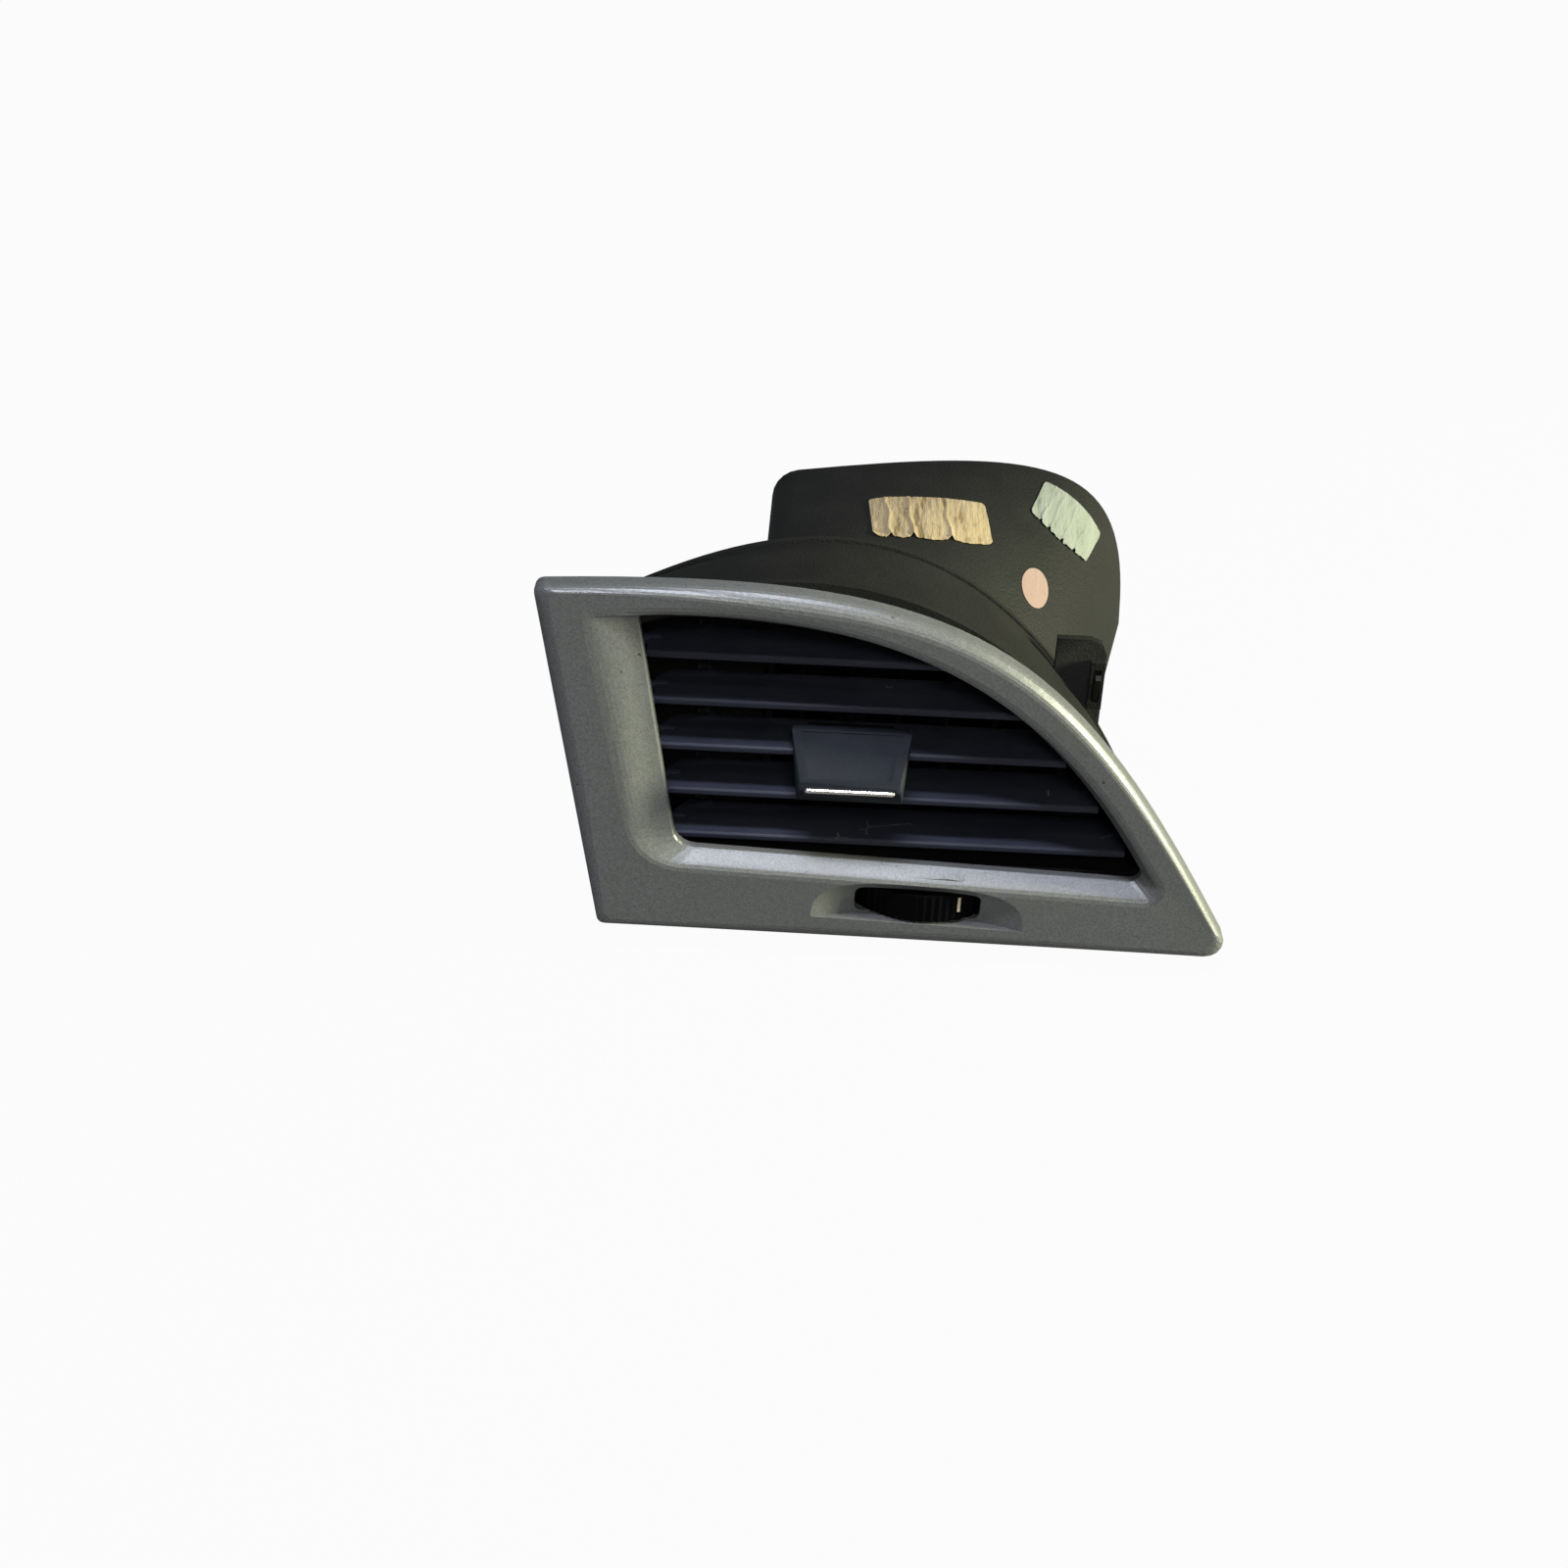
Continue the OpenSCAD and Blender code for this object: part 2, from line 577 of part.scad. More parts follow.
// Sleeve that slides on the middle louvre, with a fork that reaches back to the driven upright
module knob_fork() {
    z = louvre_z(3);
    inner = louvre_t / 2 + sleeve_gap;
    outer = inner + 1.6;
    slot = finger_r + 0.6;
    color([0.05, 0.05, 0.05]) {
        block([knob_x - 10.8, 3.9, z - outer], [knob_x + 10.8, louvre_front - 0.3, z + outer]);
        block([knob_x - 10.8, louvre_front - 0.3 - eps, z + inner], [knob_x + 10.8, 17, z + outer]);
        block([knob_x - 10.8, louvre_front - 0.3 - eps, z - outer], [knob_x + 10.8, 17, z - inner]);
        block([knob_x - slot - 2, 16, fork_z - 0.5], [knob_x + slot + 2, 22, z - inner]);
        block([knob_x - slot - 2, 16, fork_z - 0.5], [knob_x - slot, 31, z - inner]);
        block([knob_x + slot, 16, fork_z - 0.5], [knob_x + slot + 2, 31, z - inner]);
    }
}

module upright_louvre(k) {
    x = upright_x(k);
    high = upright_top(k);
    roof = upright_outer(upright_y);
    ceiling = min(top_of(roof, x - upright_pin_r), top_of(roof, x + upright_pin_r)) - 0.3;
    front = upright_chord / 2;
    color([0.08, 0.08, 0.09]) {
        difference() {
            translate([x, upright_y, upright_low]) rotate([0, 0, 90]) linear_extrude(high - upright_low)
                polygon(louvre_section(front, front, upright_t));
            // Window for the fork
            if (k == driven)
                block([x - 2, upright_front - 2, fork_z - window_half], [x + 2, 34, fork_z + window_half]);
        }
        rod_z(upright_floor - frame_wall - 0.1, upright_low + 3, x, upright_y, upright_pin_r);
        rod_z(high - 3, ceiling, x, upright_y, upright_pin_r);
        // Pin for the tie bar
        rod_z(upright_low - 3.8, upright_low + eps, x, upright_y + upright_crank, tie_pin_r);
        if (k == driven) {
            finger_y = upright_y - finger_arm;
            for (side = [-1, 1])
                translate([0, 0, fork_z + side * (window_half + 0.9)])
                    block([x - 0.8, finger_y, -0.9], [x + 0.8, 34, 0.9]);
            rod_z(fork_z - window_half - 1.8, fork_z + window_half + 1.8, x, finger_y, finger_r);
        }
    }
}

module upright_tie_bar() {
    z = upright_low - 3.4;
    y = upright_y + upright_crank;
    color([0.06, 0.06, 0.06]) difference() {
        union() {
            block([upright_x(1), y - 1.3, z], [upright_x(upright_count), y + 1.3, z + 1.6]);
            for (k = [1:upright_count]) rod_z(z, z + 1.6, upright_x(k), y, tie_pin_r + 1.1);
        }
        for (k = [1:upright_count])
            rod_z(z - 1, z + 3, upright_x(k), y, tie_pin_r + pin_gap);
    }
}

// Wheel: a disc with a tall ribbed rim over the part that can show in the slot
module thumbwheel() {
    ribs = 72;
    function rib_r(i) = wheel_r - (i % 2 == 0 ? 0 : 0.25);
    color([0.06, 0.06, 0.07]) translate([wheel_x, wheel_y, wheel_bottom]) rotate(wheel_start) difference() {
        union() {
            linear_extrude(web_t) polygon([for (i = [0:2 * ribs - 1])
                let (a = i * 180 / ribs) rib_r(i) * [cos(a), sin(a)]]);
            cylinder(h = wheel_h, r = axle_r + 2.4);
            intersection() {
                difference() {
                    linear_extrude(wheel_h) polygon([for (i = [0:2 * ribs - 1])
                        let (a = i * 180 / ribs) rib_r(i) * [cos(a), sin(a)]]);
                    translate([0, 0, -1]) cylinder(h = wheel_h + 2, r = wheel_r - 3.2);
                }
                translate([-wheel_r - 1, -wheel_r - 1, 0]) cube([2 * wheel_r + 2, wheel_r - 1, wheel_h]);
            }
            // Crank pin
            translate([crank_r, 0, 0]) cylinder(h = web_t + 0.8 + link_t + 0.4, r = 1.6);
        }
        translate([0, 0, -1]) cylinder(h = wheel_h + 2, r = axle_r + pin_gap);
    }
}

function crank_at(x, y) = [x + crank_r * cos(wheel_start), y + crank_r * sin(wheel_start)];

// Link between the wheel's crank pin and the damper's crank
module damper_link() {
    a = crank_at(wheel_x, wheel_y);
    b = crank_at(wheel_x, damper_y);
    color([0.05, 0.05, 0.05]) difference() {
        union() {
            for (p = [a, b]) translate([p.x, p.y, link_z]) cylinder(h = link_t, r = 3.2);
            block([a.x - 2.2, a.y, link_z], [a.x + 2.2, b.y, link_z + link_t]);
        }
        for (p = [a, b]) translate([p.x, p.y, link_z - 1]) cylinder(h = link_t + 2, r = 1.6 + pin_gap);
    }
}

// Crank under the duct, pressed on the middle blade's spindle
module damper_crank() {
    b = crank_at(wheel_x, damper_y);
    z = link_z - 2.6;
    color([0.05, 0.05, 0.05]) difference() {
        union() {
            translate([wheel_x, damper_y, z]) cylinder(h = floor_z - 0.5 - z, r = spindle_r + 2);
            translate([b.x, b.y, z]) cylinder(h = 2 + eps, r = 3.2);
            translate([wheel_x, damper_y, z]) rotate(wheel_start)
                translate([0, -2.2, 0]) cube([crank_r, 4.4, 2]);
            translate([b.x, b.y, z]) cylinder(h = 2.6 + link_t + 0.3, r = 1.6);
        }
        translate([wheel_x, damper_y, z - 1]) cylinder(h = 12, r = spindle_r + 0.03);
    }
}

// Carrier under the housing, with the axle of the thumbwheel
module wheel_carrier() {
    x0 = wheel_x - wheel_r - 3;
    x1 = wheel_x + wheel_r + 3;
    y1 = wheel_y + wheel_r + 3;
    low = carrier_top - carrier_t;
    color([0.05, 0.05, 0.05]) difference() {
        union() {
            block([x0, flange_back + 0.3, low], [x1, y1, carrier_top]);
            for (x = [x0, x1 - 2])
                block([x, flange_back + 0.3, low], [x + 2, housing_back - 0.3, floor_z]);
            for (x = ear_x) {
                rod_z(ear_low, floor_z, x, ear_y, 4);
                block([min(x, wheel_x + sign(x - wheel_x) * (wheel_r + 2)), ear_y - 4, ear_low],
                      [max(x, wheel_x + sign(x - wheel_x) * (wheel_r + 2)), ear_y + 4, floor_z]);
            }
            rod_z(low, floor_z - 0.1, wheel_x, wheel_y, axle_r);
            // Drooping front edge that shows below the face plate
            translate([0, flange_back + 2.6, 0]) rotate([90, 0, 0]) linear_extrude(2.3)
                polygon(concat([[60, low + 1], [-14, low + 1]],
                    [for (i = [0:12]) [mix(-14, 60, i / 12), low - 9 * sin(15 + 150 * i / 12)]]));
        }
        // Lightening holes beside the axle
        for (side = [-1, 1]) rod_z(low - 1, carrier_top + 1, wheel_x + side * 13, wheel_y + 4, 4);
        for (x = ear_x) rod_z(ear_low - 1, floor_z + 1, x, ear_y, 1.4);
    }
}

module damper_blade(k) {
    x = blade_x(k);
    high = blade_tops[k - 1];
    lever = damper_crank_r * [cos(lever_angle), sin(lever_angle)];
    color([0.09, 0.09, 0.09]) {
        translate([x, damper_y, blade_low]) rotate([0, 0, 90]) linear_extrude(high - blade_low)
            polygon(louvre_section(blade_half, blade_half, blade_t));
        rod_z(blade_low - 2, blade_low + 4, x, damper_y, spindle_r);
        rod_z(k == 2 ? link_z - 2.6 : sill_z - 2, blade_low, x, damper_y, spindle_r);
        rod_z(high - 4, high + 3.4, x, damper_y, spindle_r);
        // Lever and pin for the tie bar
        translate([x, damper_y, blade_low - 1.4]) rotate(lever_angle)
            translate([0, -2, 0]) cube([damper_crank_r, 4, 1.4]);
        translate([x + lever.x, damper_y + lever.y, blade_low - 1.4]) cylinder(h = 1.4, r = 2);
        translate([x + lever.x, damper_y + lever.y, blade_low - 3.6]) cylinder(h = 2.3, r = tie_pin_r);
    }
}

module damper_tie_bar() {
    lever = damper_crank_r * [cos(lever_angle), sin(lever_angle)];
    z = blade_low - 3.4;
    color([0.06, 0.06, 0.06]) difference() {
        union() {
            block([blade_x(1) + lever.x, damper_y + lever.y - 1.4, z],
                  [blade_x(3) + lever.x, damper_y + lever.y + 1.4, z + 1.6]);
            for (k = [1:3]) rod_z(z, z + 1.6, blade_x(k) + lever.x, damper_y + lever.y, tie_pin_r + 1.2);
        }
        for (k = [1:3])
            rod_z(z - 1, z + 3, blade_x(k) + lever.x, damper_y + lever.y, tie_pin_r + pin_gap);
    }
}

// Frame across the duct that the damper blades close against
module damper_frame() {
    y0 = damper_y - frame_depth / 2;
    y1 = damper_y + frame_depth / 2;
    color([0.07, 0.07, 0.07]) difference() {
        taper(inside_duct(y0, frame_gap), y0, inside_duct(y1 - end_plate, frame_gap), y1);
        for (k = [1:3])
            block([blade_x(k) - blade_half - 0.8, y0 - 1, sill_z],
                  [blade_x(k) + blade_half + 0.8, y1 + 1, blade_tops[k - 1] + 0.8]);
        for (k = [1:3])
            rod_z(sill_z - 20, blade_tops[k - 1] + 3.6, blade_x(k), damper_y, spindle_r + pin_gap);
    }
}

// Screws that hold the carrier's ears to the floor of the housing
module carrier_screws() {
    color([0.45, 0.45, 0.47]) for (x = ear_x) {
        difference() {
            rod_z(ear_low - 2, ear_low, x, ear_y, 2.6);
            block([x - 2, ear_y - 0.35, ear_low - 3], [x + 2, ear_y + 0.35, ear_low - 1.2]);
            block([x - 0.35, ear_y - 2, ear_low - 3], [x + 0.35, ear_y + 2, ear_low - 1.2]);
        }
        rod_z(ear_low - eps, floor_z + 1.6, x, ear_y, 1.1);
    }
}

// Film of thickness t that lies on the duct
module duct_film(t) {
    difference() {
        taper(grown(throat, film_gap + t), throat_y - 0.3, grown(inlet, film_gap + t), duct_back);
        taper(grown(throat, film_gap), throat_y - 0.3, grown(inlet, film_gap), duct_back);
    }
}

module beige_tape() {
    color([0.80, 0.72, 0.52]) intersection() {
        duct_film(0.3);
        linear_extrude(80) polygon([[-6.2, 62.4], [3.9, 63.2], [14.6, 63.6], [23.7, 64.3],
                                    [25.5, 51.5], [14.3, 46.8], [5.5, 45.4], [-2.6, 42.4], [-5.3, 43.2]]);
    }
}

// The pale tape and the sticker lie on the duct's right shoulder
shoulder_tilt = 40;
shoulder_low = 30;
module pale_tape() {
    color([0.80, 0.84, 0.72]) intersection() {
        duct_film(0.3);
        rotate([0, shoulder_tilt, 0]) translate([0, 0, shoulder_low]) linear_extrude(50)
            polygon([[5.1, 80.2], [14, 79.5], [26.3, 78.8], [25.3, 68.9], [14.6, 65.8], [4.1, 67.8]]);
    }
}
module dot_sticker() {
    color([0.90, 0.76, 0.66]) intersection() {
        duct_film(0.2);
        rotate([0, shoulder_tilt, 0]) translate([13.6, 49.7, shoulder_low])
            cylinder(h = 50, r = 4.8);
    }
}

bezel();
front_housing();
rear_duct();
louvre_frame();
upright_frame();
damper_frame();
wheel_carrier();
right_clip();
left_clip();
carrier_screws();
beige_tape();
pale_tape();
dot_sticker();
front_louvre(1);  // front_louvre_1
front_louvre(2);  // front_louvre_2
front_louvre(3);  // front_louvre_3
front_louvre(4);  // front_louvre_4
front_louvre(5);  // front_louvre_5
front_tie_bar();
knob();
knob_trim();
knob_fork();
upright_louvre(1);  // upright_louvre_1
upright_louvre(2);  // upright_louvre_2
upright_louvre(3);  // upright_louvre_3
upright_louvre(4);  // upright_louvre_4
upright_louvre(5);  // upright_louvre_5
upright_tie_bar();
thumbwheel();
damper_link();
damper_crank();
damper_blade(1);  // damper_blade_1
damper_blade(2);  // damper_blade_2
damper_blade(3);  // damper_blade_3
damper_tie_bar();
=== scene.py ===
# %% [markdown]
# # Dashboard air vent
# The part comes from the CAD model with its real sizes and joints. This script dresses it:
# smooth copies of the moulded shells, satin paint, textured plastic, tape and a paper dot.
# Everything is in metres: X to the right, Y back into the dashboard, Z up.

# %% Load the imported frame
import json
import math

import bpy
from mathutils import Matrix, Vector, noise as mathutils_noise

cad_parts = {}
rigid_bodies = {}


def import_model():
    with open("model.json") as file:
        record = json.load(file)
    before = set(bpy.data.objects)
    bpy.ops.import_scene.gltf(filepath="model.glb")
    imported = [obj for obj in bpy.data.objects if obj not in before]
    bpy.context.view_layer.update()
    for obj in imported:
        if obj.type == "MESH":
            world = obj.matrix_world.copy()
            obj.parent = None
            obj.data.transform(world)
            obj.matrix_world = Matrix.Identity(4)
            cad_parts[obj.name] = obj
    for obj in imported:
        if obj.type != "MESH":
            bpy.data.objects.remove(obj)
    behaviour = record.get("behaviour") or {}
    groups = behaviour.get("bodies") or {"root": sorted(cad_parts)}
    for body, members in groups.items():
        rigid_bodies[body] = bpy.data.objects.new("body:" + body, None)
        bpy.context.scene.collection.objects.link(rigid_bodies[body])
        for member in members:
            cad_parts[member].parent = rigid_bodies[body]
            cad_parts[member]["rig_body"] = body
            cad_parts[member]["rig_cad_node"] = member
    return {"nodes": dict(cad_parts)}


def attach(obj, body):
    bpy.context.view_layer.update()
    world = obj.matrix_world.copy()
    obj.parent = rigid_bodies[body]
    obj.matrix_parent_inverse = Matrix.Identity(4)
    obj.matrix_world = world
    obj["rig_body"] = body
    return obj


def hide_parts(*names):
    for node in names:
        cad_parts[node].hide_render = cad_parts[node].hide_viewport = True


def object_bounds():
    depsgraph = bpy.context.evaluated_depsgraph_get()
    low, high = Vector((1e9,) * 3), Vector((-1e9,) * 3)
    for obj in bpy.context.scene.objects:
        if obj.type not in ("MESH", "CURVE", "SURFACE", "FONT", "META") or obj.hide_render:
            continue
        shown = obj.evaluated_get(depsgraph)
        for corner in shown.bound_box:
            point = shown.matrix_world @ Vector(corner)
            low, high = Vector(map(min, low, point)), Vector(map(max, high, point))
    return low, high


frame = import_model()
nodes = frame["nodes"]
scene = bpy.context.scene
cad_box = [list(corner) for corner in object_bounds()]
MM = 0.001
print("CAD nodes:", len(nodes), "box:", [[round(v, 4) for v in c] for c in cad_box])

# %% [markdown]
# ## Camera
# The camera looks down on the face plate by 30 degrees and is turned a little about its own axis.
# Its place and lens were fitted to the outlines in the photograph.

# %% Camera
tilt = math.radians(30)
roll = math.radians(2.75)
forward = Vector((0, math.cos(tilt), -math.sin(tilt)))
level_up = Vector((0, math.sin(tilt), math.cos(tilt)))
cam_right = math.cos(roll) * Vector((1, 0, 0)) + math.sin(roll) * level_up
cam_up = -math.sin(roll) * Vector((1, 0, 0)) + math.cos(roll) * level_up
camera_data = bpy.data.cameras.new("photo_camera")
camera_data.lens = 51.75
camera_data.sensor_width = 36
camera_data.clip_start = 0.01
camera = bpy.data.objects.new("photo_camera", camera_data)
scene.collection.objects.link(camera)
turn = Matrix((cam_right, cam_up, -forward)).transposed()
camera.matrix_world = Matrix.Translation((-0.0247, -0.4802, 0.2676)) @ turn.to_4x4()
scene.camera = camera
print("camera at", [round(v, 3) for v in camera.location])

# %% [markdown]
# ## Floor, background and lamps
# The photograph shows the vent on plain white. A wide floor lies under it. It glows white to the
# camera only, and is dark grey to the light, so that it throws little back on the face plate.
# Two narrow lamps graze the plate from above and from the right: they leave its flat face dark
# and light its rounded edge and its bevel, as in the photograph. A lamp in front fills the louvres.

# %% Floor
def deselect():
    for o in bpy.context.selected_objects:
        o.select_set(False)


def new_material(name):
    material = bpy.data.materials.new(name)
    material.use_nodes = True
    tree = material.node_tree
    shader = next(n for n in tree.nodes if n.type == "BSDF_PRINCIPLED")
    return material, tree, shader


deselect()
floor_height = cad_box[0][2] - 0.0015
bpy.ops.mesh.primitive_plane_add(size=8, location=(0, 1.5, floor_height))
floor = bpy.context.object
floor.name = "floor"
floor_paint, tree, shader = new_material("white_floor")
shader.inputs["Base Color"].default_value = (0.15, 0.15, 0.155, 1)
shader.inputs["Roughness"].default_value = 0.9
shader.inputs["Specular IOR Level"].default_value = 0.1
glow = tree.nodes.new("ShaderNodeEmission")
glow.inputs["Color"].default_value = (1, 1, 1, 1)
path = tree.nodes.new("ShaderNodeLightPath")
share = tree.nodes.new("ShaderNodeMath")
share.operation = "MULTIPLY"
share.inputs[1].default_value = 0.96
tree.links.new(path.outputs["Is Camera Ray"], share.inputs[0])
blend = tree.nodes.new("ShaderNodeMixShader")
tree.links.new(share.outputs[0], blend.inputs["Fac"])
tree.links.new(shader.outputs[0], blend.inputs[1])
tree.links.new(glow.outputs[0], blend.inputs[2])
out = next(n for n in tree.nodes if n.type == "OUTPUT_MATERIAL")
tree.links.new(blend.outputs[0], out.inputs["Surface"])
floor.data.materials.append(floor_paint)
print("floor at z =", round(floor_height, 4))

# %% World and lamps
world = bpy.data.worlds.new("studio")
scene.world = world
world.use_nodes = True
sky = world.node_tree
sky.nodes.clear()
dim = sky.nodes.new("ShaderNodeBackground")
dim.inputs["Color"].default_value = (0.92, 0.95, 1.0, 1)
dim.inputs["Strength"].default_value = 0.05
white = sky.nodes.new("ShaderNodeBackground")
white.inputs["Color"].default_value = (1, 1, 1, 1)
white.inputs["Strength"].default_value = 1.0
rays = sky.nodes.new("ShaderNodeLightPath")
either = sky.nodes.new("ShaderNodeMath")
either.operation = "MAXIMUM"
sky.links.new(rays.outputs["Is Camera Ray"], either.inputs[0])
sky.links.new(rays.outputs["Is Transmission Ray"], either.inputs[1])
mix = sky.nodes.new("ShaderNodeMixShader")
sky.links.new(either.outputs[0], mix.inputs["Fac"])
sky.links.new(dim.outputs[0], mix.inputs[1])
sky.links.new(white.outputs[0], mix.inputs[2])
world_out = sky.nodes.new("ShaderNodeOutputWorld")
sky.links.new(mix.outputs[0], world_out.inputs["Surface"])

# name, place, watts, width, height, colour; every lamp looks at the outlet
LAMPS = (
    ("lamp_above", (-0.10, -0.30, 1.05), 14.5, 0.5, 0.1, (0.80, 0.82, 1.0)),
    ("lamp_right", (1.10, -0.08, 0.26), 42.0, 0.1, 0.3, (1.0, 1.0, 0.72)),
    ("lamp_left", (-0.9, -0.7, 0.5), 0.1, 0.5, 0.5, (0.95, 0.97, 1.0)),
    ("lamp_front", (0.05, -1.15, 0.75), 6.0, 0.4, 0.3, (1.0, 0.99, 0.97)),
)
for name, place, watts, width, height, colour in LAMPS:
    lamp_data = bpy.data.lights.new(name, "AREA")
    lamp_data.shape = "RECTANGLE"
    lamp_data.size = width
    lamp_data.size_y = height
    lamp_data.energy = watts
    lamp_data.color = colour
    lamp = bpy.data.objects.new(name, lamp_data)
    scene.collection.objects.link(lamp)
    lamp.location = place
    lamp.rotation_euler = (Vector((0, 0.03, 0)) - Vector(place)).to_track_quat("-Z", "Y").to_euler()
scene.view_settings.view_transform = "Standard"
print("lamps:", [lamp[0] for lamp in LAMPS])

# %% [markdown]
# ## Finishes
# Three effects come back on many pieces, so each is a node group that is built once: the fine
# grain of moulded plastic, a dust film that settles on upward faces, and thin scratches.

# %% Node group helpers
def new_group(name, inputs, outputs):
    group = bpy.data.node_groups.new(name, "ShaderNodeTree")
    for label, kind, value in inputs:
        socket = group.interface.new_socket(name=label, in_out="INPUT", socket_type=kind)
        if value is not None:
            socket.default_value = value
    for label, kind in outputs:
        group.interface.new_socket(name=label, in_out="OUTPUT", socket_type=kind)
    enter = group.nodes.new("NodeGroupInput")
    leave = group.nodes.new("NodeGroupOutput")
    return group, enter, leave


def noise(tree, scale, detail=3.0, roughness=0.5, coords=None):
    texture = tree.nodes.new("ShaderNodeTexNoise")
    texture.inputs["Scale"].default_value = scale
    texture.inputs["Detail"].default_value = detail
    texture.inputs["Roughness"].default_value = roughness
    if coords is not None:
        tree.links.new(coords, texture.inputs["Vector"])
    return texture


def span(tree, value, low, high, to_low=0.0, to_high=1.0):
    node = tree.nodes.new("ShaderNodeMapRange")
    node.inputs["From Min"].default_value = low
    node.inputs["From Max"].default_value = high
    node.inputs["To Min"].default_value = to_low
    node.inputs["To Max"].default_value = to_high
    tree.links.new(value, node.inputs["Value"])
    return node.outputs["Result"]


def blend_colour(tree, factor, a, b):
    node = tree.nodes.new("ShaderNodeMix")
    node.data_type = "RGBA"
    for socket, value in ((node.inputs[6], a), (node.inputs[7], b)):
        if hasattr(value, "is_linked"):
            tree.links.new(value, socket)
        else:
            socket.default_value = (*value, 1)
    if hasattr(factor, "is_linked"):
        tree.links.new(factor, node.inputs[0])
    else:
        node.inputs[0].default_value = factor
    return node.outputs[2]


# %% Moulded grain: a fine bump and a mask of slightly duller spots
grain, enter, leave = new_group(
    "moulded_grain",
    [("Vector", "NodeSocketVector", None), ("Scale", "NodeSocketFloat", 2200.0),
     ("Depth", "NodeSocketFloat", 0.25)],
    [("Normal", "NodeSocketVector"), ("Mask", "NodeSocketFloat")])
fine = noise(grain, 1, 2.0, 0.6, enter.outputs["Vector"])
grain.links.new(enter.outputs["Scale"], fine.inputs["Scale"])
bump = grain.nodes.new("ShaderNodeBump")
bump.inputs["Distance"].default_value = 0.0004
grain.links.new(enter.outputs["Depth"], bump.inputs["Strength"])
grain.links.new(fine.outputs["Fac"], bump.inputs["Height"])
grain.links.new(bump.outputs["Normal"], leave.inputs["Normal"])
grain.links.new(span(grain, fine.outputs["Fac"], 0.35, 0.65), leave.inputs["Mask"])
print("group:", grain.name)

# %% Dust film: pale on faces that look up, in soft patches
dust, enter, leave = new_group(
    "dust_film",
    [("Vector", "NodeSocketVector", None), ("Amount", "NodeSocketFloat", 0.3),
     ("Patch Scale", "NodeSocketFloat", 60.0)],
    [("Mask", "NodeSocketFloat")])
geometry = dust.nodes.new("ShaderNodeNewGeometry")
split = dust.nodes.new("ShaderNodeSeparateXYZ")
dust.links.new(geometry.outputs["Normal"], split.inputs[0])
upward = span(dust, split.outputs["Z"], 0.2, 1.0)
patch = noise(dust, 1, 5.0, 0.6, enter.outputs["Vector"])
dust.links.new(enter.outputs["Patch Scale"], patch.inputs["Scale"])
patches = span(dust, patch.outputs["Fac"], 0.35, 0.7)
both = dust.nodes.new("ShaderNodeMath")
both.operation = "MULTIPLY"
dust.links.new(upward, both.inputs[0])
dust.links.new(patches, both.inputs[1])
scaled = dust.nodes.new("ShaderNodeMath")
scaled.operation = "MULTIPLY"
dust.links.new(both.outputs[0], scaled.inputs[0])
dust.links.new(enter.outputs["Amount"], scaled.inputs[1])
dust.links.new(scaled.outputs[0], leave.inputs["Mask"])
print("group:", dust.name)

# %% Scratches: thin bright lines, broken up so that only some of them show
scratches, enter, leave = new_group(
    "thin_scratches",
    [("Vector", "NodeSocketVector", None), ("Scale", "NodeSocketFloat", 90.0),
     ("Rarity", "NodeSocketFloat", 0.66)],
    [("Mask", "NodeSocketFloat")])
warp = noise(scratches, 25, 2.0, 0.5, enter.outputs["Vector"])
bent = scratches.nodes.new("ShaderNodeVectorMath")
bent.operation = "MULTIPLY_ADD"
bent.inputs[1].default_value = (0.02, 0.02, 0.02)
scratches.links.new(warp.outputs["Color"], bent.inputs[0])
scratches.links.new(enter.outputs["Vector"], bent.inputs[2])
cells = scratches.nodes.new("ShaderNodeTexVoronoi")
cells.feature = "DISTANCE_TO_EDGE"
scratches.links.new(bent.outputs[0], cells.inputs["Vector"])
scratches.links.new(enter.outputs["Scale"], cells.inputs["Scale"])
line = span(scratches, cells.outputs["Distance"], 0.012, 0.0)
area = noise(scratches, 45, 2.0, 0.5, enter.outputs["Vector"])
where = scratches.nodes.new("ShaderNodeMath")
where.operation = "GREATER_THAN"
scratches.links.new(area.outputs["Fac"], where.inputs[0])
scratches.links.new(enter.outputs["Rarity"], where.inputs[1])
shown = scratches.nodes.new("ShaderNodeMath")
shown.operation = "MULTIPLY"
scratches.links.new(line, shown.inputs[0])
scratches.links.new(where.outputs[0], shown.inputs[1])
scratches.links.new(shown.outputs[0], leave.inputs["Mask"])
print("group:", scratches.name)


# %% Placing a group in a material
def place_group(tree, group, vector, **values):
    node = tree.nodes.new("ShaderNodeGroup")
    node.node_tree = group
    tree.links.new(vector, node.inputs["Vector"])
    for label, value in values.items():
        node.inputs[label.replace("_", " ")].default_value = value
    return node


def object_coords(tree):
    return tree.nodes.new("ShaderNodeTexCoord").outputs["Object"]


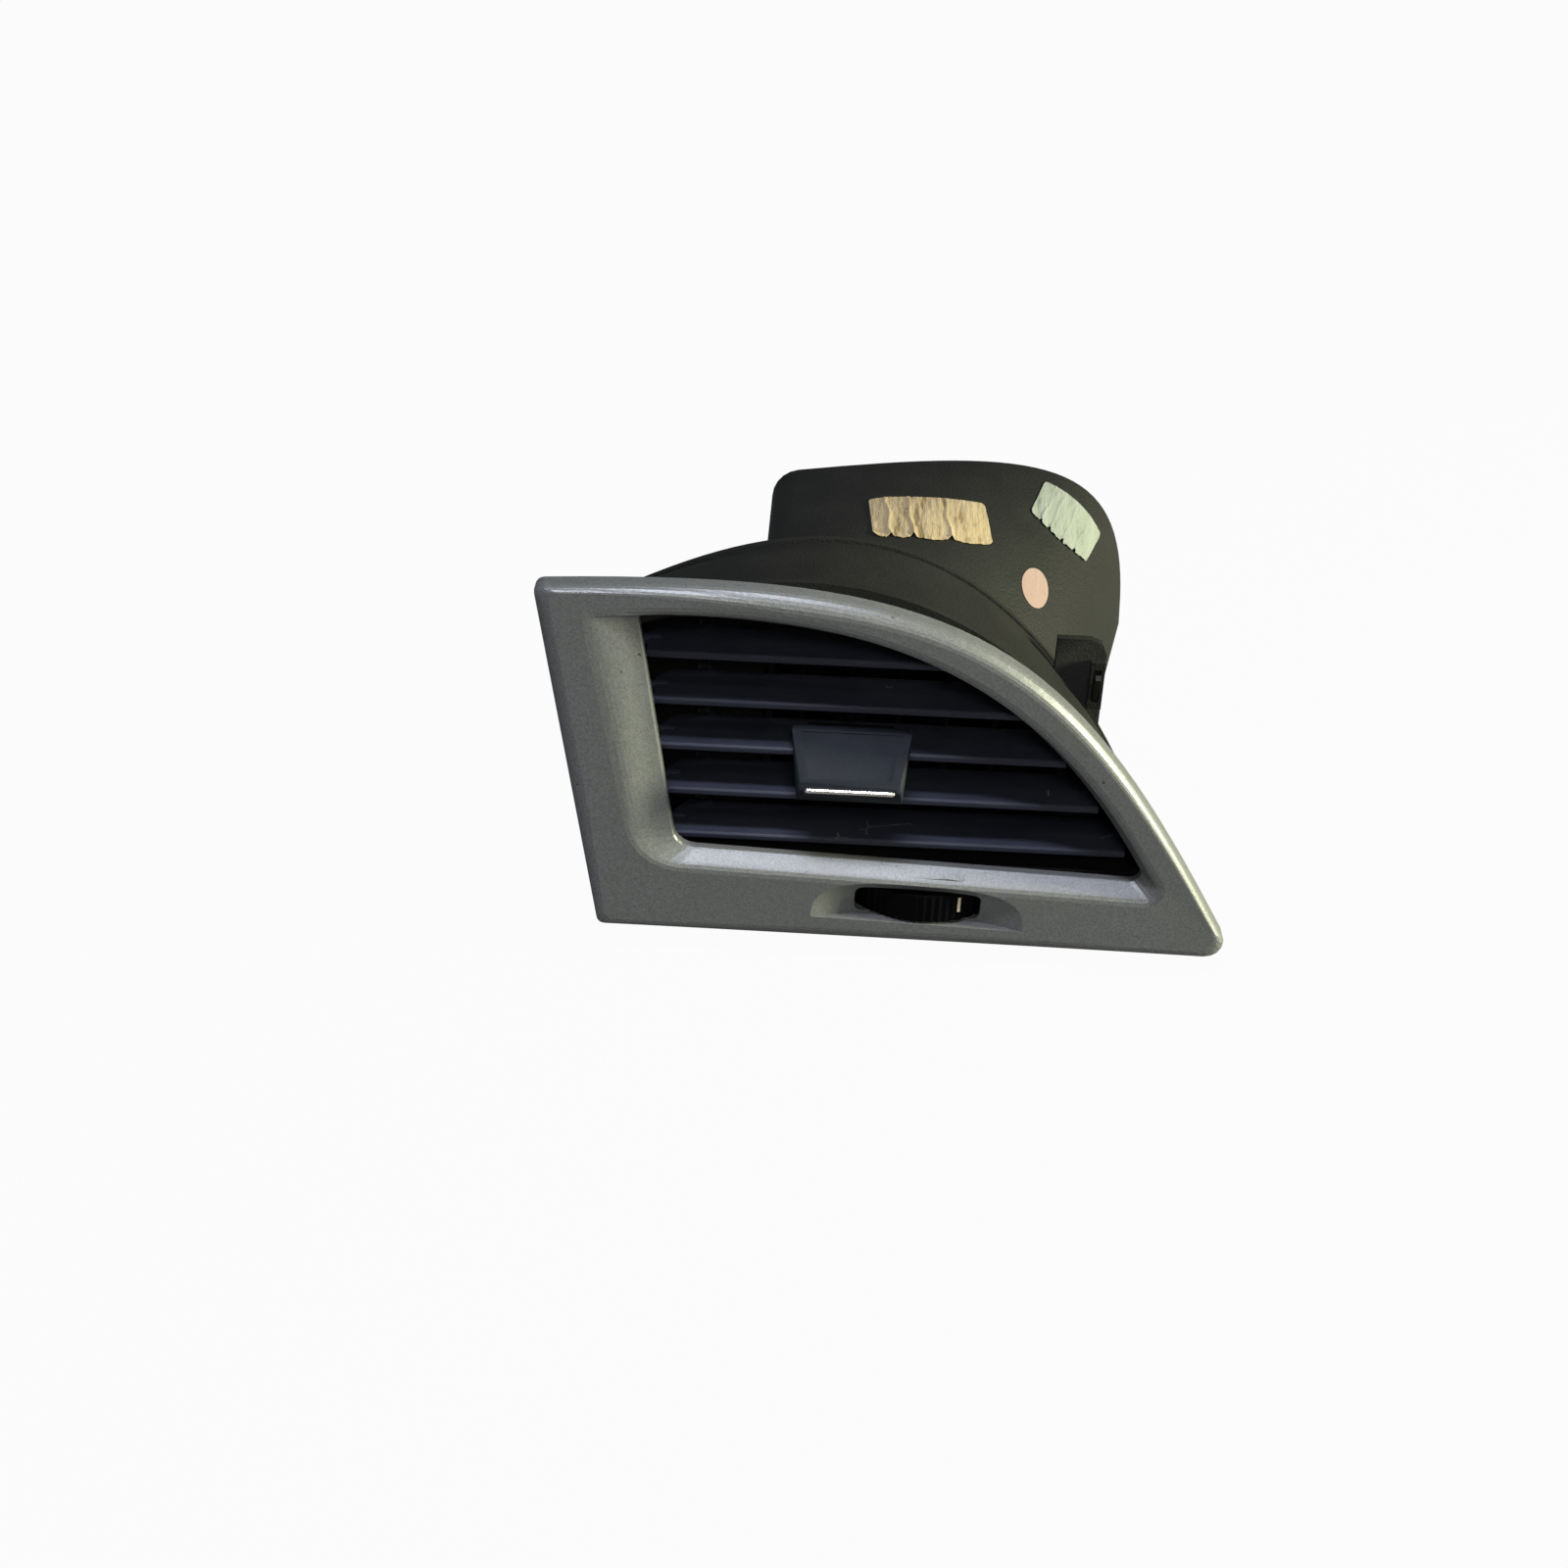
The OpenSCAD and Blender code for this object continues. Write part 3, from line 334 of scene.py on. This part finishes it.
def plastic(name, colour, dull, rough=0.5, shine=0.35, grain_scale=2200.0, depth=0.25, dust_amount=0.25,
            dust_colour=(0.16, 0.16, 0.14), scratch_colour=None, rarity=0.66):
    material, tree, shader = new_material(name)
    coords = object_coords(tree)
    skin = place_group(tree, grain, coords, Scale=grain_scale, Depth=depth)
    film = place_group(tree, dust, coords, Amount=dust_amount)
    broad = noise(tree, 35, 4.0, 0.6, coords)
    base = blend_colour(tree, span(tree, broad.outputs["Fac"], 0.3, 0.7), colour, dull)
    base = blend_colour(tree, film.outputs["Mask"], base, dust_colour)
    if scratch_colour:
        marks = place_group(tree, scratches, coords, Rarity=rarity)
        base = blend_colour(tree, marks.outputs["Mask"], base, scratch_colour)
    tree.links.new(base, shader.inputs["Base Color"])
    roughness = span(tree, skin.outputs["Mask"], 0, 1, rough - 0.05, rough + 0.07)
    tree.links.new(roughness, shader.inputs["Roughness"])
    tree.links.new(skin.outputs["Normal"], shader.inputs["Normal"])
    shader.inputs["Specular IOR Level"].default_value = shine
    return material


# %% [markdown]
# The face plate is satin paint with a fine metal flake. The paint is a metallic layer that is not
# quite metal: the base colour stays grey in every view, and the flakes only sparkle.

# %% Satin paint
paint, tree, shader = new_material("satin_paint")
coords = object_coords(tree)
flake = tree.nodes.new("ShaderNodeTexVoronoi")
flake.inputs["Scale"].default_value = 3200
tree.links.new(coords, flake.inputs["Vector"])
flake_value = tree.nodes.new("ShaderNodeSeparateColor")
tree.links.new(flake.outputs["Color"], flake_value.inputs[0])
tone = span(tree, flake_value.outputs[0], 0, 1)
base = blend_colour(tree, tone, (0.105, 0.110, 0.106), (0.165, 0.172, 0.166))
cloud = noise(tree, 22, 3.0, 0.5, coords)
cloudy_share = span(tree, cloud.outputs["Fac"], 0.35, 0.75, 0, 0.35)
base = blend_colour(tree, cloudy_share, base, (0.115, 0.118, 0.106))
grime = place_group(tree, dust, coords, Amount=0.12)
base = blend_colour(tree, grime.outputs["Mask"], base, (0.06, 0.06, 0.05))
specks = noise(tree, 420, 2.0, 0.5, coords)
base = blend_colour(tree, span(tree, specks.outputs["Fac"], 0.74, 0.78), base, (0.04, 0.04, 0.035))
tree.links.new(base, shader.inputs["Base Color"])
shader.inputs["Metallic"].default_value = 0.35
tree.links.new(span(tree, cloud.outputs["Fac"], 0.3, 0.7, 0.38, 0.45), shader.inputs["Roughness"])
skin = place_group(tree, grain, coords, Scale=2600.0, Depth=0.10)
tree.links.new(skin.outputs["Normal"], shader.inputs["Normal"])
print("material:", paint.name)

# %% Plastics and metals
housing_black = plastic(
    "housing_plastic", (0.0075, 0.008, 0.0065), (0.011, 0.0115, 0.0095), rough=0.55, shine=0.14,
    grain_scale=1500.0, depth=0.5, dust_amount=0.16, dust_colour=(0.03, 0.03, 0.025))
louvre_black = plastic(
    "louvre_plastic", (0.018, 0.020, 0.031), (0.023, 0.026, 0.038), rough=0.5, shine=0.22,
    grain_scale=2600.0, depth=0.12, dust_amount=0.25, dust_colour=(0.06, 0.06, 0.075),
    scratch_colour=(0.22, 0.22, 0.25), rarity=0.70)
knob_black = plastic(
    "knob_plastic", (0.009, 0.011, 0.0145), (0.011, 0.0135, 0.0175), rough=0.65, shine=0.10,
    grain_scale=2400.0, depth=0.16, dust_amount=0.12, dust_colour=(0.06, 0.065, 0.08))
wheel_black = plastic(
    "wheel_plastic", (0.001, 0.001, 0.0014), (0.0016, 0.0016, 0.002), rough=0.5, shine=0.04,
    grain_scale=2600.0, depth=0.1, dust_amount=0.01)


def inside_range(tree, value, middle, half):
    away = tree.nodes.new("ShaderNodeMath")
    away.operation = "COMPARE"
    away.inputs[1].default_value = middle
    away.inputs[2].default_value = half
    tree.links.new(value, away.inputs[0])
    return away.outputs[0]


# A cream tick is printed across the wheel's rim, and shows at the right end of the slot
tree = wheel_black.node_tree
shader = next(n for n in tree.nodes if n.type == "BSDF_PRINCIPLED")
split = tree.nodes.new("ShaderNodeSeparateXYZ")
tree.links.new(object_coords(tree), split.inputs[0])
tick = inside_range(tree, split.outputs["X"], 0.0210, 0.00038)
for axis, middle, half in (("Y", 0.0, 0.0035), ("Z", -0.0422, 0.0021)):
    both = tree.nodes.new("ShaderNodeMath")
    both.operation = "MULTIPLY"
    tree.links.new(tick, both.inputs[0])
    tree.links.new(inside_range(tree, split.outputs[axis], middle, half), both.inputs[1])
    tick = both.outputs[0]
plain = shader.inputs["Base Color"].links[0].from_socket
tree.links.new(blend_colour(tree, tick, plain, (0.62, 0.56, 0.40)), shader.inputs["Base Color"])
# A darker black: painted shade on the walls inside the channel and on the upright louvres between the front
# ones; the mechanism parts inside get it too
shade_and_mechanism_black = plastic(
    "mechanism_plastic_and_painted_shade", (0.0035, 0.0035, 0.0035), (0.005, 0.005, 0.0045), rough=0.6, shine=0.12,
    grain_scale=1800.0, depth=0.2, dust_amount=0.06, dust_colour=(0.02, 0.02, 0.018))

bright_strip, tree, shader = new_material("bright_strip")
coords = object_coords(tree)
shader.inputs["Metallic"].default_value = 1.0
worn = noise(tree, 180, 2.0, 0.5, coords)
wear = span(tree, worn.outputs["Fac"], 0.5, 0.7)
base = blend_colour(tree, wear, (0.80, 0.78, 0.72), (0.62, 0.60, 0.54))
tree.links.new(base, shader.inputs["Base Color"])
tree.links.new(span(tree, worn.outputs["Fac"], 0.3, 0.7, 0.2, 0.3), shader.inputs["Roughness"])

screw_steel, tree, shader = new_material("plated_steel")
coords = object_coords(tree)
shader.inputs["Metallic"].default_value = 1.0
cloudy = noise(tree, 900, 3.0, 0.6, coords)
base = blend_colour(tree, cloudy.outputs["Fac"], (0.42, 0.42, 0.44), (0.55, 0.55, 0.56))
tree.links.new(base, shader.inputs["Base Color"])
tree.links.new(span(tree, cloudy.outputs["Fac"], 0.3, 0.7, 0.3, 0.45), shader.inputs["Roughness"])
print("materials:", len(bpy.data.materials))


# %% Tape and paper
def tape(name, light, dark, stain_and_fold_shade, rough=0.75, fold=0.0):
    material, tree, shader = new_material(name)
    coords = object_coords(tree)
    stretched = tree.nodes.new("ShaderNodeMapping")
    stretched.inputs["Scale"].default_value = (6.0, 1.0, 1.0)
    tree.links.new(coords, stretched.inputs["Vector"])
    crease = noise(tree, 60, 4.0, 0.6, stretched.outputs[0])
    # The colour follows the crease height that the bump also uses: painted highlight on the crests, painted
    # shade in the hollows
    base = blend_colour(tree, span(tree, crease.outputs["Fac"], 0.3, 0.7), dark, light)
    # Thin dark lines run along the folds: painted shade in the folds
    line = span(tree, crease.outputs["Fac"], 0.37, 0.42, fold, 0)
    base = blend_colour(tree, line, base, stain_and_fold_shade)
    spots = noise(tree, 240, 5.0, 0.65, coords)
    base = blend_colour(tree, span(tree, spots.outputs["Fac"], 0.58, 0.72, 0, 0.6), base, stain_and_fold_shade)
    tree.links.new(base, shader.inputs["Base Color"])
    bump = tree.nodes.new("ShaderNodeBump")
    bump.inputs["Strength"].default_value = 0.5 + 0.4 * fold
    bump.inputs["Distance"].default_value = 0.0012
    tree.links.new(crease.outputs["Fac"], bump.inputs["Height"])
    tree.links.new(bump.outputs["Normal"], shader.inputs["Normal"])
    shader.inputs["Roughness"].default_value = rough
    shader.inputs["Specular IOR Level"].default_value = 0.25
    return material


# The third colour of each tape is its stains and also the painted shade along its folds
beige = tape("beige_tape", (0.28, 0.225, 0.13), (0.21, 0.16, 0.08), (0.10, 0.068, 0.028), fold=0.7)
pale = tape("pale_tape", (0.165, 0.18, 0.15), (0.13, 0.145, 0.115), (0.075, 0.08, 0.055), fold=0.45)
peach = tape("peach_paper", (0.20, 0.14, 0.115), (0.19, 0.13, 0.105), (0.16, 0.105, 0.08))

# %% [markdown]
# ## Shells
# The moulded shells are right in the CAD model, but their curves are made of flat facets. Each
# gets a copy whose loose triangles are merged, shaded smooth up to a limit angle, and given
# small bevels where the real mould has rounded edges.

# %% Smooth copies
def smooth_copy(node, name, body, material, angle=26, bevel=0.0, segments=2, bevel_angle=35, reshape=None,
                inner=None, centre=(0, 0)):
    deselect()
    piece = nodes[node].copy()
    piece.data = nodes[node].data.copy()
    piece.name = name
    piece.parent = None
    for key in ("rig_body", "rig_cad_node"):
        if key in piece:
            del piece[key]
    piece.matrix_world = Matrix.Identity(4)
    scene.collection.objects.link(piece)
    piece.select_set(True)
    bpy.context.view_layer.objects.active = piece
    bpy.ops.object.mode_set(mode="EDIT")
    bpy.ops.mesh.select_all(action="SELECT")
    bpy.ops.mesh.remove_doubles(threshold=0.00001)
    bpy.ops.object.mode_set(mode="OBJECT")
    if reshape:
        reshape(piece)
    bpy.ops.object.mode_set(mode="EDIT")
    bpy.ops.mesh.select_all(action="SELECT")
    bpy.ops.mesh.dissolve_limited(angle_limit=math.radians(0.6))
    bpy.ops.object.mode_set(mode="OBJECT")
    if bevel:
        edge = piece.modifiers.new("edges", "BEVEL")
        edge.width = bevel
        edge.segments = segments
        edge.limit_method = "ANGLE"
        edge.angle_limit = math.radians(bevel_angle)
        edge.harden_normals = False
        bpy.ops.object.modifier_apply(modifier="edges")
    bpy.ops.object.shade_smooth_by_angle(angle=math.radians(angle))
    piece.data.materials.clear()
    piece.data.materials.append(material)
    if inner:
        # Walls that face the middle of the channel are plain and darker: painted shade inside the channel
        piece.data.materials.append(inner)
        for face in piece.data.polygons:
            inwards = Vector((centre[0] * MM - face.center.x, 0, centre[1] * MM - face.center.z))
            if abs(face.normal.y) < 0.8 and face.normal.dot(inwards) > 0:
                face.material_index = 1
    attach(piece, body)
    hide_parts(node)
    print(name, len(piece.data.polygons), "faces")
    return piece


# %% [markdown]
# The scoop round the thumbwheel slot has a flat ledge below and an arched upper edge. The CAD
# scoop is a plain spindle, so it is filled up to the face and cut again with a shaped tool.

# %% Tools for the thumb scoop
SCOOP = (10.5, -47.3)
SLOT_Z = -42.55
CROWN = -2.6


def boolean(piece, tool, operation):
    cut = piece.modifiers.new(operation, "BOOLEAN")
    cut.operation = operation
    cut.solver = "EXACT"
    cut.object = tool
    bpy.context.view_layer.objects.active = piece
    bpy.ops.object.modifier_apply(modifier=operation)
    bpy.data.objects.remove(tool)


def close_up(tool, shift):
    # A sheet becomes a solid: it is extruded by the shift, and its normals are made consistent
    bpy.ops.object.mode_set(mode="EDIT")
    bpy.ops.mesh.select_all(action="SELECT")
    bpy.ops.mesh.remove_doubles(threshold=0.00001)
    bpy.ops.mesh.extrude_region_move(TRANSFORM_OT_translate={"value": shift})
    bpy.ops.mesh.select_all(action="SELECT")
    bpy.ops.mesh.normals_make_consistent(inside=False)
    bpy.ops.object.mode_set(mode="OBJECT")
    return tool


def outline_tool(points, shift):
    deselect()
    bpy.ops.mesh.primitive_circle_add(vertices=len(points), radius=1, fill_type="NGON")
    tool = bpy.context.object
    for v, place in zip(tool.data.vertices, points):
        v.co = Vector(place) * MM
    return close_up(tool, Vector(shift) * MM)


def scoop_tool(half, height, depth, lean):
    deselect()
    bpy.ops.mesh.primitive_grid_add(x_subdivisions=20, y_subdivisions=72, size=2)
    tool = bpy.context.object
    for v in tool.data.vertices:
        out, around = (v.co.x + 1) / 2, math.pi * (v.co.y + 1) / 2
        c, d = math.cos(around), math.sin(around)
        full = (abs(c) ** 3 + abs(d) ** 3) ** (-1 / 3)
        x, z = half * out * full * c, height * out * full * d
        v.co = Vector((SCOOP[0] + x, CROWN + depth * (1 - out ** 2), SCOOP[1] + z - lean * x)) * MM
    return close_up(tool, Vector((0, -12, 0)) * MM)


def reshape_scoop(piece):
    x0, x1, slope = SCOOP[0] - 30, SCOOP[0] + 30, -0.0353
    def face(x, y, z):
        return (x, y + 0.01, z + slope * (x - SCOOP[0]))
    profile = [(-2.6, -49.6), (-2.5, -37.2), (-2.3, -36.1), (-1.85, -35.2), (3.4, -35.2), (3.4, -49.6)]
    filler = outline_tool([face(x0, y, z) for y, z in profile], (x1 - x0, 0, slope * (x1 - x0)))
    boolean(piece, filler, "UNION")
    boolean(piece, scoop_tool(27.0, 11.6, 5.2, 0.03), "DIFFERENCE")
    ends = [(SCOOP[0] + 13.7 * cx + 2.3 * math.cos(math.radians(a)), -8,
             SLOT_Z - 0.5 * cx + 1.9 * cz + 2.3 * math.sin(math.radians(a)))
            for cx, cz, start in ((1, -1, 360), (-1, -1, 270), (-1, 1, 180), (1, 1, 90))
            for a in range(start, start - 91, -15)]
    boolean(piece, outline_tool(ends, (0, 16, 0)), "DIFFERENCE")
    deselect()
    bpy.ops.mesh.primitive_cylinder_add(vertices=128, radius=22.5 * MM, depth=8.3 * MM,
                                        location=(12 * MM, 19.5 * MM, -42.85 * MM))
    tool = bpy.context.object
    bpy.ops.object.transform_apply(location=True)
    boolean(piece, tool, "DIFFERENCE")


# %% [markdown]
# The lip that slopes into the outlet is flat in the CAD model. On the real plate it starts
# softly at the crown and gets steeper towards the outlet, most of all on the wide left side.

# %% Soft lip
CREASE_Y, OUTLET_Y = -1.85, 1.45
LIP_BANDS = 8


def leftness(x):
    t = min(1, max(0, (-56 * MM - x) / (9 * MM)))
    return t * t * (3 - 2 * t)


def soften_lip(piece):
    mesh = piece.data
    old = len(mesh.vertices)
    # Only the sloping faces stay selected, so that the cuts below don't reach the rest of the plate
    ends = {round(CREASE_Y, 2), round(OUTLET_Y, 2)}
    for face in mesh.polygons:
        depths = {round(mesh.vertices[i].co.y / MM, 2) for i in face.vertices}
        face.select = depths == ends
    for element in (mesh.vertices, mesh.edges):
        for item in element:
            item.select = False
    for face in mesh.polygons:
        if face.select:
            for i in face.vertices:
                mesh.vertices[i].select = True
    bpy.ops.object.mode_set(mode="EDIT")
    bpy.ops.mesh.select_mode(type="FACE")
    for cut in range(1, LIP_BANDS):
        bpy.ops.object.mode_set(mode="OBJECT")
        for face in mesh.polygons:
            depths = [mesh.vertices[i].co.y / MM for i in face.vertices]
            within = min(depths) > CREASE_Y - 0.01 and max(depths) < OUTLET_Y + 0.01
            at_crease = any(abs(d - CREASE_Y) < 0.01 for d in depths)
            cut_before = any(i >= old for i in face.vertices)
            slopes = max(depths) - min(depths) > 0.1
            face.select = within and slopes and (at_crease or cut_before)
        bpy.ops.object.mode_set(mode="EDIT")
        level = CREASE_Y + (OUTLET_Y - CREASE_Y) * cut / LIP_BANDS
        bpy.ops.mesh.bisect(plane_co=(0, level * MM, 0), plane_no=(0, 1, 0))
    bpy.ops.object.mode_set(mode="OBJECT")
    for v in mesh.vertices:
        left = leftness(v.co.x)
        depth = v.co.y / MM
        if v.index >= old:
            t = (depth - CREASE_Y) / (OUTLET_Y - CREASE_Y)
            start = CREASE_Y - 0.57 * left
            v.co.y = (start + (OUTLET_Y - start) * t ** (1.1 + 0.3 * left)) * MM
        else:
            for ring, target in ((-2.5, -2.58), (-2.3, -2.50), (CREASE_Y, -2.42)):
                if abs(depth - ring) < 0.004:
                    v.co.y = (depth + (target - depth) * left) * MM
    print("new points on the lip:", len(mesh.vertices) - old)


def reshape_plate(piece):
    soften_lip(piece)
    reshape_scoop(piece)


smooth_copy("bezel", "face_plate", "housing", paint, angle=24, bevel=0.00022, reshape=reshape_plate)
smooth_copy("front_housing", "housing_shell", "housing", housing_black, angle=26, bevel=0.00025,
            inner=shade_and_mechanism_black)
duct = smooth_copy("rear_duct", "duct_shell", "housing", housing_black, angle=26, bevel=0.0003,
                   inner=shade_and_mechanism_black, centre=(10, 8))
smooth_copy("knob", "sliding_knob", "knob_body", knob_black, angle=30, bevel=0.0004, segments=3)

# %% [markdown]
# ## Tapes and paper dot
# The tapes are thin sheets laid on the duct. A grid is stretched between a lower and an upper
# edge, each point is dropped on the duct, and folds lift it a little. The lower edges run in lobes.

# %% Sheets that lie on the duct
def along(points, t):
    x = points[0][0] + t * (points[-1][0] - points[0][0])
    for a, b in zip(points, points[1:]):
        if a[0] <= x <= b[0]:
            return x, a[1] + (b[1] - a[1]) * (x - a[0]) / (b[0] - a[0])
    return points[-1]


def ripple(t, folds, width):
    return sum(math.exp(-((t - fold) / width) ** 2) for fold in folds)


def lay_sheet(name, node, low, high, folds, tilt_angle, thick, fold_height, material, columns=110, rows=36):
    deselect()
    bpy.ops.mesh.primitive_grid_add(x_subdivisions=columns, y_subdivisions=rows, size=2)
    piece = bpy.context.object
    piece.name = name
    lean = Matrix.Rotation(math.radians(tilt_angle), 3, "Y")
    down = lean @ Vector((0, 0, -1))
    for v in piece.data.vertices:
        across, up = (v.co.x + 1) / 2, (v.co.y + 1) / 2
        x0, y0 = along(low, across)
        x1, y1 = along(high, across)
        # The lower edge is drawn in at each fold, and the corners are round
        y0 += 0.9 * ripple(across, folds, 0.018)
        corner = max(0, 0.035 - min(across, 1 - across)) / 0.035
        y0 += 1.0 * corner ** 2.5
        y1 -= 1.0 * corner ** 2.5
        start = lean @ Vector(((x0 + up * (x1 - x0)) * MM, (y0 + up * (y1 - y0)) * MM, 0.09))
        _, place, normal, _ = duct.ray_cast(start, down)
        ridge = ripple(across, [f + 0.012 * math.sin(9 * up + 20 * f) for f in folds], 0.014)
        crinkle = mathutils_noise.noise(Vector((across * 22, up * 7, len(name))))
        edge_lift = 0.35 * max(0, 0.1 - up) / 0.1
        lift = 0.08 + fold_height * ridge * (1.1 - 0.7 * up)
        lift += 0.08 * (crinkle + 1) + edge_lift * (crinkle + 0.5)
        v.co = place + normal * max(lift, 0.05) * MM
    bpy.ops.object.mode_set(mode="EDIT")
    bpy.ops.mesh.select_all(action="SELECT")
    bpy.ops.mesh.normals_make_consistent(inside=False)
    bpy.ops.object.mode_set(mode="OBJECT")
    body = piece.modifiers.new("thickness", "SOLIDIFY")
    body.thickness = thick * MM
    body.offset = 1
    bpy.ops.object.modifier_apply(modifier="thickness")
    bpy.ops.object.shade_smooth_by_angle(angle=math.radians(50))
    piece.data.materials.append(material)
    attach(piece, "housing")
    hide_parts(node)
    print(name, len(piece.data.polygons), "faces")
    return piece


# Edges as (x, y) in mm, seen along the direction in which the sheet is laid
lay_sheet("wrinkled_beige_tape", "beige_tape",
          ((-5.4, 43.4), (-3.4, 42.4), (-1.0, 43.2), (2.0, 43.4), (4.8, 44.6), (9.5, 45.0), (14.6, 47.4),
           (19.5, 48.4), (25.5, 51.5)),
          ((-6.3, 62.2), (-1.1, 63.2), (3.9, 63.2), (14.6, 63.6), (23.9, 64.3)),
          (0.145, 0.33, 0.645), 0, 0.14, 0.42, beige)
lay_sheet("torn_pale_tape", "pale_tape",
          ((4.1, 67.8), (8.0, 66.4), (14.6, 65.8), (20.0, 67.0), (25.4, 68.9)),
          ((5.0, 80.2), (14.0, 79.5), (26.2, 78.8)),
          (0.16, 0.30, 0.52, 0.74), 40, 0.12, 0.22, pale, 90, 30)

# %% Paper dot
deselect()
bpy.ops.mesh.primitive_circle_add(vertices=64, radius=1, fill_type="TRIFAN")
dot = bpy.context.object
dot.name = "paper_dot"
bpy.ops.object.mode_set(mode="EDIT")
bpy.ops.mesh.select_all(action="SELECT")
bpy.ops.mesh.subdivide(number_cuts=3)
bpy.ops.object.mode_set(mode="OBJECT")
lean = Matrix.Rotation(math.radians(40), 3, "Y")
for v in dot.data.vertices:
    reach = min(1.0, math.hypot(v.co.x, v.co.y)) or 1.0
    start = lean @ Vector(((13.6 + v.co.x * 4.8) * MM, (49.7 + v.co.y * 4.8) * MM, 0.09))
    _, place, normal, _ = duct.ray_cast(start, lean @ Vector((0, 0, -1)))
    v.co = place + normal * (0.05 + 0.05 * reach) * MM
body = dot.modifiers.new("thickness", "SOLIDIFY")
body.thickness = 0.0001
body.offset = 1
bpy.ops.object.modifier_apply(modifier="thickness")
bpy.ops.object.shade_smooth_by_angle(angle=math.radians(50))
dot.data.materials.append(peach)
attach(dot, "housing")
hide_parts("dot_sticker")
print(dot.name, len(dot.data.polygons), "faces")

# %% [markdown]
# ## Louvres and mechanism
# The louvres keep their CAD shape, with their long edges rounded.

# %% Louvres
for k in range(1, 6):
    smooth_copy(f"front_louvre_{k}", f"louvre_blade_{k}", f"front_louvre_{k}_body", louvre_black, angle=30,
                bevel=0.00018, bevel_angle=25)
# The upright louvres get the darker black: painted shade between the front louvres
for k in range(1, 6):
    nodes[f"upright_louvre_{k}"].data.materials.clear()
    nodes[f"upright_louvre_{k}"].data.materials.append(shade_and_mechanism_black)

# %% Finishes of the pieces that stay as they are
FINISH = {
    "knob_trim": bright_strip, "carrier_screws": screw_steel, "thumbwheel": wheel_black,
    "wheel_carrier": housing_black, "right_clip": housing_black, "left_clip": housing_black,
    "louvre_frame": shade_and_mechanism_black, "upright_frame": shade_and_mechanism_black, "damper_frame": shade_and_mechanism_black,
    "front_tie_bar": shade_and_mechanism_black, "knob_fork": shade_and_mechanism_black, "upright_tie_bar": shade_and_mechanism_black,
    "damper_link": shade_and_mechanism_black, "damper_crank": shade_and_mechanism_black, "damper_tie_bar": shade_and_mechanism_black,
    "damper_blade_1": shade_and_mechanism_black, "damper_blade_2": shade_and_mechanism_black, "damper_blade_3": shade_and_mechanism_black,
}
for name, material in FINISH.items():
    nodes[name].data.materials.clear()
    nodes[name].data.materials.append(material)
print("finished nodes:", len(FINISH))

# %% Finish
bpy.context.view_layer.update()
